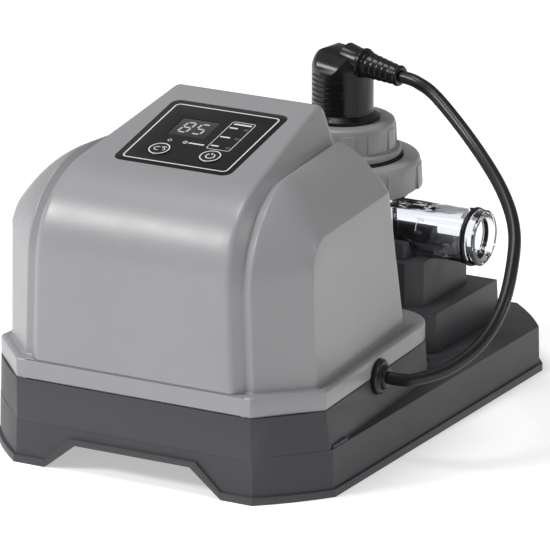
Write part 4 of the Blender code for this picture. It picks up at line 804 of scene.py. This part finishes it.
SLOT_COUNT = 4
SLOT_PITCH = 0.0042
SLOT_FIRST = 0.0062
taper = [(0, 0.0006), (0.0086, 0.0006), (0.0089, 0.0012), (0.0086, 0.0022)]
for slot in range(SLOT_COUNT + 1):
    start = SLOT_FIRST + (slot - 0.5) * SLOT_PITCH
    radius = 0.0082 - 0.00035 * slot
    taper += [(radius - 0.0004, start - 0.0012), (radius, start - 0.0006), (radius, start + 0.0006)]
taper += [(0.0060, 0.0246), (0.0068, 0.0254), (0.0069, 0.0266), (0.0061, RELIEF_LENGTH)]
taper += [(0, RELIEF_LENGTH)]
relief = spun("plug_relief_taper", taper, 64, relief_at, along_lead)
sideways = relief_along.cross(Vector((0, 0, 1))).normalized()
upright = sideways.cross(relief_along).normalized()
for slot in range(SLOT_COUNT):
    for side in (-1, 1):
        middle = relief_at + relief_along * (SLOT_FIRST + slot * SLOT_PITCH) + sideways * side * 0.0078
        alone(relief)
        bpy.ops.object.select_all(action="DESELECT")
        bpy.ops.mesh.primitive_cube_add(size=1.0)
        tool = bpy.context.object
        turn = Matrix((sideways, upright, relief_along)).transposed().to_4x4()
        shape = Matrix.Diagonal((0.0066, 0.0092 - 0.0006 * slot, 0.0020, 1.0))
        tool.data.transform(Matrix.Translation(middle) @ turn @ shape)
        combined(relief, tool, "DIFFERENCE")
rounded(relief, 0.00025, 30.0, 2, 35.0)
fit(relief, "unit", plug_black, "plug_black", "plug_strain_relief")

# Cover: the light grey shell of the housing, one ABS moulding screwed on from inside the base. A
# flat-faced band runs up the front, over the sloping top and down the leaning rear. A bevel, a
# groove and a ridge part it from the shoulders, and a lip stands out all round the parting line.

# Depths are measured back from the tray's front edge, heights from the floor.
PARTING = 0.0547
LIP_TOP = PARTING + 0.0125
LEDGE = PARTING + 0.0143
COVER_WALL = 0.0028
FRONT = 0.0017
FRONT_HALF = 0.0820
SIDE_FRONT = (0.1146, 0.0368)
SIDE_REAR = (0.1043, 0.1781)
REAR = 0.2030
BAND_HALVES = (0.0690, 0.0668, 0.0505)
BAND_RADIUS = 0.058
COVER_TOP = 0.2116
TOP_REAR = 0.1487
PANEL_TILT = math.radians(13.2)
WALL_FRONT = 0.0095
WALL_SIDE = (0.1067, 0.0369)
SIDE_TAPER = 0.0951
SIDE_DRAFT = 0.0175
WALL_REAR = 0.1820
REAR_LEAN = 0.235
REAR_RADIUS = 0.010
REAR_EASE = 0.0075
BEVEL_STRIP = 0.0058
GROOVE_HEIGHT = 0.1840
RIDGE_OFFSET = 0.0050
RIDGE_HEIGHT = 0.1880
SHOULDER_RADIUS = 0.060
CREASE_HEIGHT = 0.1580
CREASE_RADIUS = 0.020
WALL_STEPS = 7
BEND_STEPS = 20
TOP_STEPS = 7
ARC_STEPS = 7
SHOULDER_SHARES = (0.10, 0.20, 0.30, 0.40, 0.50, 0.60, 0.70, 0.79, 0.87)
LEDGE_HOLLOW = (
    (0.04, LEDGE - 0.0006),
    (0.12, LEDGE - 0.0012),
    (0.24, LEDGE - 0.0016),
    (0.50, LEDGE - 0.0018),
    (0.80, LEDGE - 0.0016),
)
LIP_EDGE = (
    (0.0026, LIP_TOP + 0.0004),
    (0.0013, LIP_TOP),
    (0.0004, LIP_TOP - 0.0006),
    (0.0, LIP_TOP - 0.0018),
    (0.0, PARTING + 0.0004),
    (0.0004, PARTING),
    (COVER_WALL, PARTING),
    (COVER_WALL, LIP_TOP - COVER_WALL),
)
tray_front = cad_low.y


def rear_wall(height):
    """How far back the leaning rear wall is at a height."""
    return WALL_REAR - REAR_LEAN * (height - LEDGE)


def side_wall(y, height):
    """How far out the tapering, drafted side wall is."""
    return WALL_SIDE[0] - SIDE_TAPER * (y - WALL_SIDE[1]) - SIDE_DRAFT * (height - LEDGE)


def strip(front, radius, top, slope, halves, wall):
    """One column of the shell: up the front wall, round the bend, back, and down the rear."""
    low = LEDGE - wall
    bend_y = front + radius * (1 - math.sin(slope))
    start = top - radius * math.cos(slope)
    rise = math.tan(slope)
    far_y = WALL_REAR - wall - REAR_LEAN * (top - bend_y * rise - LEDGE)
    far_y /= 1 + REAR_LEAN * rise
    corner = Vector((0, far_y, top + (far_y - bend_y) * rise))
    rows = [Vector((0, front, low + (start - low) * row / WALL_STEPS)) for row in range(WALL_STEPS)]
    for row in range(BEND_STEPS + 1):
        angle = (math.pi / 2 - slope) * row / BEND_STEPS
        y = front + radius * (1 - math.cos(angle))
        rows.append(Vector((0, y, start + radius * math.sin(angle))))
    stop = far_y - REAR_RADIUS
    for row in range(1, TOP_STEPS + 1):
        y = bend_y + (stop - bend_y) * row / TOP_STEPS
        rows.append(Vector((0, y, top + (y - bend_y) * rise)))
    back = corner - Vector((0, math.cos(slope), math.sin(slope))) * REAR_EASE
    down = corner + Vector((0, REAR_LEAN, -1)).normalized() * REAR_EASE
    for row in range(ARC_STEPS):
        t = row / (ARC_STEPS - 1)
        rows.append(back * (1 - t) ** 2 + corner * 2 * t * (1 - t) + down * t * t)
    for row in range(1, WALL_STEPS + 1):
        z = down.z + (low - down.z) * row / WALL_STEPS
        rows.append(Vector((0, rear_wall(z) - wall, z)))
    foot, bend, rear = halves
    for index, point in enumerate(rows):
        point.x = bend + (rear - bend) * min(1.0, (point.y - front) / (far_y - front))
        if index <= WALL_STEPS:
            point.x = foot + (bend - foot) * (point.z - low) / (start - low)
        elif index >= len(rows) - WALL_STEPS:
            point.x = rear
    return rows


def side_line(heights, wall, even=False):
    """The side wall in plan at these heights, from the front corner round the rear one."""
    front = WALL_SIDE[1] + wall * 1.3
    radius = CREASE_RADIUS - wall * 0.5
    rows = []
    for index, z in enumerate(heights):
        stop = rear_wall(z) - wall - REAR_RADIUS
        turn = index - BEND_STEPS - TOP_STEPS
        angle = math.pi / 2 * max(turn, 0) / ARC_STEPS
        if even:
            y = front + (stop - front) * min(index / (BEND_STEPS + TOP_STEPS), 1.0)
        elif index <= BEND_STEPS:
            y = front + radius * (1 - math.cos(math.pi / 2 * index / BEND_STEPS))
        else:
            y = front + radius + (stop - front - radius) * min(index - BEND_STEPS, TOP_STEPS) / TOP_STEPS
        x = side_wall(y, z) - wall - REAR_RADIUS * (1 - math.cos(angle))
        rows.append(Vector((x, y + REAR_RADIUS * math.sin(angle), z)))
    return rows


def crease_line(wall):
    """The crease between the shoulder and the side wall, with its run down at both ends."""
    low = LEDGE - wall
    top = CREASE_HEIGHT - wall * 1.3
    radius = CREASE_RADIUS - wall * 0.5
    heights = [
        top - radius + radius * math.sin(math.pi / 2 * row / BEND_STEPS)
        for row in range(BEND_STEPS + 1)
    ]
    heights += [top] * (TOP_STEPS + ARC_STEPS)
    over = side_line(heights, wall)
    rows = []
    for row in range(WALL_STEPS):
        z = low + (heights[0] - low) * row / WALL_STEPS
        rows.append(Vector((side_wall(over[0].y, z) - wall, over[0].y, z)))
    rows += over
    for row in range(1, WALL_STEPS + 1):
        z = top + (low - top) * row / WALL_STEPS
        y = rear_wall(z) - wall
        rows.append(Vector((side_wall(y - REAR_RADIUS, z) - wall - REAR_RADIUS, y, z)))
    return rows


def eased(columns, index, reach):
    """Rounds the edge along one column by a fan of columns on a curve about it."""
    before, edge, after = columns[index - 1 : index + 2]
    fan = []
    for t in (0.0, 0.2, 0.4, 0.6, 0.8, 1.0):
        rows = []
        for near, middle, far in zip(before, edge, after):
            start = middle + (near - middle).normalized() * min(reach, (near - middle).length * 0.45)
            end = middle + (far - middle).normalized() * min(reach, (far - middle).length * 0.45)
            rows.append(start * (1 - t) ** 2 + middle * 2 * t * (1 - t) + end * t * t)
        fan.append(rows)
    return columns[:index] + fan + columns[index + 1 :]


def shell_columns(wall):
    """The right half's columns at a depth under the outside, from the middle to the crease."""
    radius = BAND_RADIUS - wall
    front = FRONT + wall
    bend_y = front + radius * (1 - math.sin(PANEL_TILT))
    rise = math.tan(PANEL_TILT)
    top = COVER_TOP - wall / math.cos(PANEL_TILT) - (TOP_REAR - bend_y) * rise
    halves = [half - wall for half in BAND_HALVES]
    made = []
    for share in (0.0, 0.3, 0.6, 0.85, 1.0):
        made.append(strip(front, radius, top, PANEL_TILT, [half * share for half in halves], wall))
    for offset, height in ((0.0, GROOVE_HEIGHT), (RIDGE_OFFSET, RIDGE_HEIGHT)):
        shifted = [half + BEVEL_STRIP + offset for half in halves]
        drop = height - wall * 1.4 - (height - GROOVE_HEIGHT if wall else 0.0)
        made.append(strip(WALL_FRONT + wall, SHOULDER_RADIUS, drop, 0, shifted, wall))
    ridge, crease = made[-1], crease_line(wall)
    for share in SHOULDER_SHARES:
        fall = 0.47 * share + 0.53 * share * share
        mixed = [near.lerp(far, share) for near, far in zip(ridge, crease)]
        for point, near, far in zip(mixed, ridge, crease):
            point.z = near.z + (far.z - near.z) * fall
        made.append(mixed)
    made = eased(made + [crease], 6, 0.0012)
    return eased(made, 4, 0.0032)


def skin(builder, wall):
    """Adds one skin of the shell, and returns the loop of its foot."""
    right = shell_columns(wall)
    left = [[Vector((-p.x, p.y, p.z)) for p in rows] for rows in reversed(right[1:])]
    grid = [[builder.verts.new((p.x, p.y + tray_front, p.z)) for p in rows] for rows in left + right]
    for near, far in zip(grid, grid[1:]):
        for row in range(len(near) - 1):
            builder.faces.new((near[row], far[row], far[row + 1], near[row + 1]))
    across = len(right[-1]) - 2 * WALL_STEPS
    foot = side_line([LEDGE - wall] * across, wall, even=True)
    over = right[-1][WALL_STEPS : WALL_STEPS + across]
    feet = []
    for edge, sign in ((grid[-1], 1), (grid[0], -1)):
        above = edge[WALL_STEPS : WALL_STEPS + across]
        for step in range(1, WALL_STEPS + 1):
            below = [edge[WALL_STEPS - step]]
            for high, low in zip(over[1:-1], foot[1:-1]):
                point = high.lerp(low, step / WALL_STEPS)
                below.append(builder.verts.new((sign * point.x, point.y + tray_front, point.z)))
            below.append(edge[WALL_STEPS + across - 1 + step])
            for index in range(across - 1):
                builder.faces.new((above[index], below[index], below[index + 1], above[index + 1]))
            above = below
        feet.append(above[1:-1])
    front = [rows[0] for rows in grid]
    rear = [rows[-1] for rows in grid]
    return front + feet[0] + rear[::-1] + feet[1][::-1]


def skirt(foot, columns, inset):
    """The lip's plan at an inset from its outside, one point for each point of the foot."""
    corner = Vector((FRONT_HALF - 0.42 * inset, FRONT + inset))
    side = Vector((SIDE_FRONT[0] - inset, SIDE_FRONT[1] + 0.42 * inset))
    rear = Vector((SIDE_REAR[0] - inset, SIDE_REAR[1]))
    reach = REAR - SIDE_REAR[1]
    flush = FRONT + (inset if inset >= COVER_WALL else 0.0)
    ridge = columns - 1 - len(SHOULDER_SHARES) - 1
    front = []
    for index in range(ridge - 5):
        front.append(Vector((foot[columns - 1 + index].x, flush)))
    last = front[-1].x
    for index in range(5):
        front.append(Vector((last + (corner.x - last) * (index + 1) / 6, flush if index < 1 else corner.y)))
    front.append(corner)
    front += [corner.lerp(side, share) for share in SHOULDER_SHARES + (1.0,)]
    first, stop = WALL_SIDE[1], WALL_REAR - REAR_RADIUS
    around = BEND_STEPS + TOP_STEPS + ARC_STEPS - 1
    beside = []
    for index in range(1, around + 1):
        y = foot[2 * columns - 2 + index].y
        turn = index - BEND_STEPS - TOP_STEPS
        if turn <= 0:
            beside.append(side.lerp(rear, (y - first) / (stop - first)))
        else:
            angle = math.pi / 2 * turn / ARC_STEPS
            beside.append(rear + Vector((reach * (math.cos(angle) - 1), (reach - inset) * math.sin(angle))))
    behind = []
    start = 2 * columns - 1 + len(beside)
    for index in range(columns):
        behind.append(Vector((foot[start + index].x * (rear.x - reach) / foot[start].x, REAR - inset)))

    def flip(points):
        return [Vector((-point.x, point.y)) for point in reversed(points)]

    return flip(front[1:]) + front + beside + behind + flip(behind[:-1]) + flip(beside)


builder = bmesh.new()
outer = skin(builder, 0.0)
inner = skin(builder, COVER_WALL)
columns = len(shell_columns(0.0))
foot = [Vector((corner.co.x, corner.co.y - tray_front)) for corner in outer]
lip = skirt(foot, columns, 0.0030)
loop = outer
rings = [[(p.lerp(q, share), z) for p, q in zip(foot, lip)] for share, z in LEDGE_HOLLOW]
rings += [[(point, z) for point in skirt(foot, columns, inset)] for inset, z in LIP_EDGE]
for ring in rings:
    following = [builder.verts.new((point.x, point.y + tray_front, z)) for point, z in ring]
    for index, corner in enumerate(loop):
        after = (index + 1) % len(loop)
        builder.faces.new((corner, loop[after], following[after], following[index]))
    loop = following
for index, corner in enumerate(loop):
    after = (index + 1) % len(loop)
    builder.faces.new((corner, loop[after], inner[after], inner[index]))
bmesh.ops.recalc_face_normals(builder, faces=builder.faces)
shell_mesh = bpy.data.meshes.new("cover_shell")
builder.to_mesh(shell_mesh)
builder.free()
cover = bpy.data.objects.new("cover_shell", shell_mesh)
bpy.context.scene.collection.objects.link(cover)
rounded(cover, 0.0007, 27.0, 3, 30.0, clamp=False)
SEAT_DEPTH = 0.020
SEAT_REACH = 0.006
seat_profile = [
    (0, -SEAT_DEPTH),
    (NECK_RADIUS + CLEARANCE, -SEAT_DEPTH),
    (NECK_RADIUS + CLEARANCE, -CLEARANCE),
    (FLANGE_RADIUS + CLEARANCE, -CLEARANCE),
    (FLANGE_RADIUS + CLEARANCE, SEAT_REACH),
    (0, SEAT_REACH),
]
for side in GLAND_SIDES.values():
    combined(cover, spun("gland_seat", seat_profile, 48, *gland_seat(side)), "DIFFERENCE", "FAST")

# Panel seat: the recess in the cover's slope, and the openings that the cover and the panel share.
# A point here is given by its place on the panel and its lift above it.

PANEL_SIZE = (0.0814, 0.0794)
PANEL_CORNER = 0.0060
PANEL_MIDDLE = 0.08705
panel_turn = Matrix.Rotation(PANEL_TILT, 3, "X")
panel_height = COVER_TOP - (TOP_REAR - PANEL_MIDDLE) * math.tan(PANEL_TILT)
panel_middle = Vector((0, PANEL_MIDDLE + tray_front, panel_height))


def on_panel(x, y, lift):
    """A point by its place on the panel and its lift above it."""
    return panel_middle + panel_turn @ Vector((x, y, lift))


def frame_path(width, length, radius, x=0.0, y=0.0, steps=8):
    """A rectangle with round corners, drawn about a place on the panel."""
    path = []
    for quarter in range(4):
        sign_x = 1 if quarter in (0, 3) else -1
        sign_y = 1 if quarter in (0, 1) else -1
        for step in range(steps + 1):
            angle = (quarter + step / steps) * math.pi / 2
            path.append((
                x + sign_x * (width / 2 - radius) + radius * math.cos(angle),
                y + sign_y * (length / 2 - radius) + radius * math.sin(angle),
            ))
    return path


def plate(name, path, low, high):
    """A flat plate over a path on the panel, extruded between two lifts."""
    rise = panel_turn @ Vector((0, 0, high - low))
    return extruded(name, [on_panel(x, y, low) for x, y in path], rise)


RECESS_DEPTH = 0.0014
WINDOW_SIZE = (0.0260, 0.0210)
WINDOW_PLACE = (-0.0103, 0.0092)
BUTTON_RADIUS = 0.0071
BUTTON_CLEARANCE = 0.0004
BUTTON_PLACES = {"timer_button": (-0.0177, -0.0212), "power_button": (0.0178, -0.0209)}
LIGHT_OPENING = (0.0038, 0.0030, 0.0002)
LIGHT_PLACES = {"low": (0.0224, -0.0074), "good": (0.0224, 0.0044), "high": (0.0224, 0.0162)}
CUT_TOP = 0.0030


def with_gap(size):
    """A width and a length with the clearance added on every side."""
    return [part + 2 * CLEARANCE for part in size]


def with_openings(piece):
    """Cuts the window, the light holes and the button holes through a piece of the panel."""
    paths = [frame_path(*with_gap(WINDOW_SIZE), 0.0013, *WINDOW_PLACE)]
    paths += [frame_path(*LIGHT_OPENING, *spot, 1) for spot in LIGHT_PLACES.values()]
    for path in paths:
        combined(piece, plate("opening", path, -0.0070, CUT_TOP), "DIFFERENCE", "FAST")
    radius = BUTTON_RADIUS + BUTTON_CLEARANCE
    outline = [(0, -0.006), (radius, -0.006), (radius, CUT_TOP), (0, CUT_TOP)]
    for x, y in BUTTON_PLACES.values():
        hole = spun("opening", outline, 48, on_panel(x, y, 0), panel_turn)
        combined(piece, hole, "DIFFERENCE", "FAST")


recess = plate("recess", frame_path(*with_gap(PANEL_SIZE), PANEL_CORNER), -RECESS_DEPTH, 0.0040)
combined(cover, recess, "DIFFERENCE", "FAST")
with_openings(cover)
alone(cover)
bpy.ops.object.shade_smooth_by_angle(angle=math.radians(30))
cover_plastic = moulded("cover_plastic", (0.285, 0.284, 0.294), 0.34, 0.00004, 0.03)
fit(cover, "unit", cover_plastic, "cover_grey_plastic", "cover")

# Control panel: a near-black film on a thin plate, in the recess of the cover and level with the
# surface round it. The window, the lights and the buttons show through its openings.

film = plate("control_panel_film", frame_path(*PANEL_SIZE, PANEL_CORNER), -0.0011, -0.0001)
rounded(film, 0.0003, 40.0, 2, 30.0)
with_openings(film)
film_black = Finish("panel_film_black", (0.0060, 0.0060, 0.0066), 0.24, Specular_IOR_Level=0.35)
film_grain = film_black.place.noise(1500.0, 2.0)
film_black.set("Roughness", film_black.place.noise(60.0, 3.0, 0.6) * 0.10 + 0.20)
film_black.set("Base Color", film_grain.blend((0.0050, 0.0050, 0.0055, 1), (0.0085, 0.0085, 0.0090, 1)))
film_black.bump(film_grain, 0.00002)
fit(film, "unit", film_black, "panel_film", "control_panel")

# Panel print: thin strokes of white ink on the film. A border, the level box with plain bars where
# words would be, and plain marks under the window.

INK_HEIGHT = 0.00005


def inked(name, strokes, lift):
    """Ink strokes joined into one piece: each has a path, a width, and whether it closes."""
    builder = bmesh.new()
    for path, width, closed in strokes:
        points = [Vector(point) for point in path]
        count = len(points)
        rings = []
        for index, point in enumerate(points):
            before = points[index - 1] if closed or index else point
            after = points[(index + 1) % count] if closed or index < count - 1 else point
            along = (after - before).normalized()
            aside = Vector((-along.y, along.x)) * width / 2
            sides = ((point + aside, 0), (point - aside, 0), (point - aside, 1), (point + aside, 1))
            rings.append([
                builder.verts.new(on_panel(*spot, lift + INK_HEIGHT * top)) for spot, top in sides
            ])
        for index in range(count if closed else count - 1):
            near, far = rings[index], rings[(index + 1) % count]
            for corner in range(4):
                after = (corner + 1) % 4
                builder.faces.new((near[corner], near[after], far[after], far[corner]))
        if not closed:
            builder.faces.new(rings[0])
            builder.faces.new(reversed(rings[-1]))
    bmesh.ops.recalc_face_normals(builder, faces=builder.faces)
    mesh = bpy.data.meshes.new(name)
    builder.to_mesh(mesh)
    builder.free()
    piece = bpy.data.objects.new(name, mesh)
    bpy.context.scene.collection.objects.link(piece)
    return piece


def ring_path(x, y, radius, first=0.0, sweep=360.0, steps=40):
    """Points along an arc about a place on the panel, in degrees."""
    angles = [math.radians(first + sweep * step / steps) for step in range(steps + (sweep < 360))]
    return [(x + radius * math.cos(angle), y + radius * math.sin(angle)) for angle in angles]


def bar(x0, x1, y, height):
    """A short filled bar of ink."""
    return ([(x0, y), (x1, y)], height, False)


strokes = [
    (frame_path(0.0726, 0.0700, 0.0030), 0.0009, True),
    (frame_path(0.0158, 0.0354, 0.0016, 0.0174, 0.0063), 0.00045, True),
    bar(0.0112, 0.0236, 0.0213, 0.0016),
]
for x0, x1, y in ((0.0108, 0.0166, 0.0163), (0.0108, 0.0176, 0.0044), (0.0108, 0.0160, -0.0072)):
    strokes.append(bar(x0, x1, y, 0.0014))
strokes.append((ring_path(-0.0174, -0.0086, 0.0012), 0.0004, True))
strokes.append(([(-0.0066, -0.0098), (-0.0066, -0.0074)], 0.0005, False))
strokes.append((ring_path(-0.0066, -0.0086, 0.0014), 0.0004, True))
strokes.append(bar(-0.0041, 0.0066, -0.0086, 0.0013))
ink = Finish("white_ink", (0.72, 0.73, 0.74), 0.45)
ink_noise = ink.place.noise(900.0, 2.0)
ink.mottle(ink_noise, (0.66, 0.67, 0.68), (0.78, 0.79, 0.80), 0.2, 0.35, 0.00001)
fit(inked("panel_print", strokes, -0.0001), "unit", ink, "panel_film")

# Display: a smoked acrylic window in the film, over the display module on the board. Its two
# seven-segment figures are thin strokes on the window's face, and unlit segments are dark ones.

window = plate("display_window_lens", frame_path(*WINDOW_SIZE, 0.0010, *WINDOW_PLACE), -0.0036, -0.0002)
rounded(window, 0.0002, 40.0, 2, 30.0)
smoked = Finish("smoked_acrylic", (0.030, 0.031, 0.034), 0.12)
smoked_haze = smoked.place.noise(120.0, 3.0)
smoked.mottle(smoked_haze, (0.026, 0.027, 0.030), (0.038, 0.039, 0.043), 0.08, 0.10, 0.00001)
fit(window, "unit", smoked, "window_tint", "display_window")
DIGIT_WIDTH = 0.0058
DIGIT_HEIGHT = 0.0122
DIGIT_LEAN = 0.12
SEGMENTS = {
    "top": ((0, 2), (1, 2)),
    "middle": ((0, 1), (1, 1)),
    "bottom": ((0, 0), (1, 0)),
    "upper_left": ((0, 2), (0, 1)),
    "upper_right": ((1, 2), (1, 1)),
    "lower_left": ((0, 1), (0, 0)),
    "lower_right": ((1, 1), (1, 0)),
}
lit, unlit = [], []
for digit, left_out in enumerate(((), ("upper_right", "lower_left"))):
    for segment, ends in SEGMENTS.items():
        points = []
        for column, row in ends:
            x = WINDOW_PLACE[0] - 0.0078 + digit * 0.0098 + column * DIGIT_WIDTH
            y = WINDOW_PLACE[1] - DIGIT_HEIGHT / 2 + row * DIGIT_HEIGHT / 2
            points.append(Vector((x + (y - WINDOW_PLACE[1]) * DIGIT_LEAN, y)))
        trim = (points[1] - points[0]).normalized() * 0.0008
        path = [points[0] + trim, points[1] - trim]
        (unlit if segment in left_out else lit).append((path, 0.0014, False))
figures = inked("display_figures", lit, -0.0002)
glow = Finish("lit_segments", (0.42, 0.43, 0.44), 0.30, Emission_Strength=0.12)
glow_mottle = glow.place.noise(700.0)
glow.set("Base Color", glow_mottle.blend((0.34, 0.35, 0.36, 1), (0.46, 0.47, 0.48, 1)))
glow.set("Emission Color", glow_mottle.blend((0.7, 0.7, 0.7, 1), (0.9, 0.9, 0.9, 1)))
glow.set("Roughness", glow_mottle * 0.1 + 0.25)
fit(figures, "unit", glow, "window_tint")
dark_figures = inked("display_figures_dark", unlit, -0.0002)
dark_glow = moulded("dark_segments", (0.045, 0.046, 0.050), 0.30, 0.00001, 0.1, 700.0)
fit(dark_figures, "unit", dark_glow, "window_tint")
switch_black = moulded("switch_black", (0.020, 0.020, 0.022), 0.45, 0.00006, 0.15, 800.0)
dress(switch_black, "display_module", "timer_switch", "power_switch")

# Buttons: two round keys that stand a little above the film and press down on the switches. Each
# has a white ring and its own sign printed on it.

STEM_END = -0.0073
STEM_RADIUS = 0.0020
KEY_SHOULDER_RADIUS = BUTTON_RADIUS + 0.0015
KEY_SHOULDER_LOW = -0.0048
KEY_SHOULDER_TOP = -0.0032
button_profile = [
    (0, STEM_END),
    (STEM_RADIUS, STEM_END),
    (STEM_RADIUS, KEY_SHOULDER_LOW),
    (KEY_SHOULDER_RADIUS, KEY_SHOULDER_LOW),
    (KEY_SHOULDER_RADIUS, KEY_SHOULDER_TOP),
    (BUTTON_RADIUS, KEY_SHOULDER_TOP),
    (BUTTON_RADIUS, 0.0001),
    (BUTTON_RADIUS - 0.0002, 0.0004),
    (BUTTON_RADIUS - 0.0006, 0.0006),
    (BUTTON_RADIUS - 0.0014, 0.0006),
    (0, 0.0007),
]
key_black = moulded("key_black", (0.0075, 0.0075, 0.0080), 0.32, 0.00002, 0.10, 900.0)
for name, (x, y) in BUTTON_PLACES.items():
    key = spun(f"{name}_key", button_profile, 64, on_panel(x, y, 0), panel_turn)
    alone(key)
    bpy.ops.object.shade_smooth_by_angle(angle=math.radians(30))
    fit(key, name, key_black, "button_film", name)
    sign = [(ring_path(x, y, BUTTON_RADIUS - 0.0007, steps=72), 0.0008, True)]
    if name == "power_button":
        sign.append((ring_path(x, y, 0.0028, 122.0, 296.0, 30), 0.0008, False))
        sign.append(([(x, y + 0.0006), (x, y + 0.0038)], 0.0008, False))
    else:
        sign.append((ring_path(x - 0.0014, y, 0.0020), 0.0006, True))
        sign.append(([(x - 0.0014, y + 0.0012), (x - 0.0014, y), (x - 0.0005, y)], 0.0005, False))
        sign.append((ring_path(x + 0.0022, y - 0.0003, 0.0016, -60.0, 280.0, 24), 0.0006, False))
        sign.append(([(x + 0.0008, y + 0.0026), (x + 0.0040, y + 0.0026)], 0.0006, False))
    fit(inked(f"{name}_sign", sign, 0.00062), name, ink, "button_film")

# Level lights: three small rectangular light pipes of smoked plastic under the film's openings.
# They are shown unlit.

pipe = Finish("smoked_pipe", (0.075, 0.077, 0.080), 0.22)
pipe_haze = pipe.place.noise(500.0)
pipe.mottle(pipe_haze, (0.06, 0.062, 0.066), (0.095, 0.097, 0.10), 0.15, 0.15, 0.00001)
dress(pipe, *(f"level_light_{level}" for level in LIGHT_PLACES))
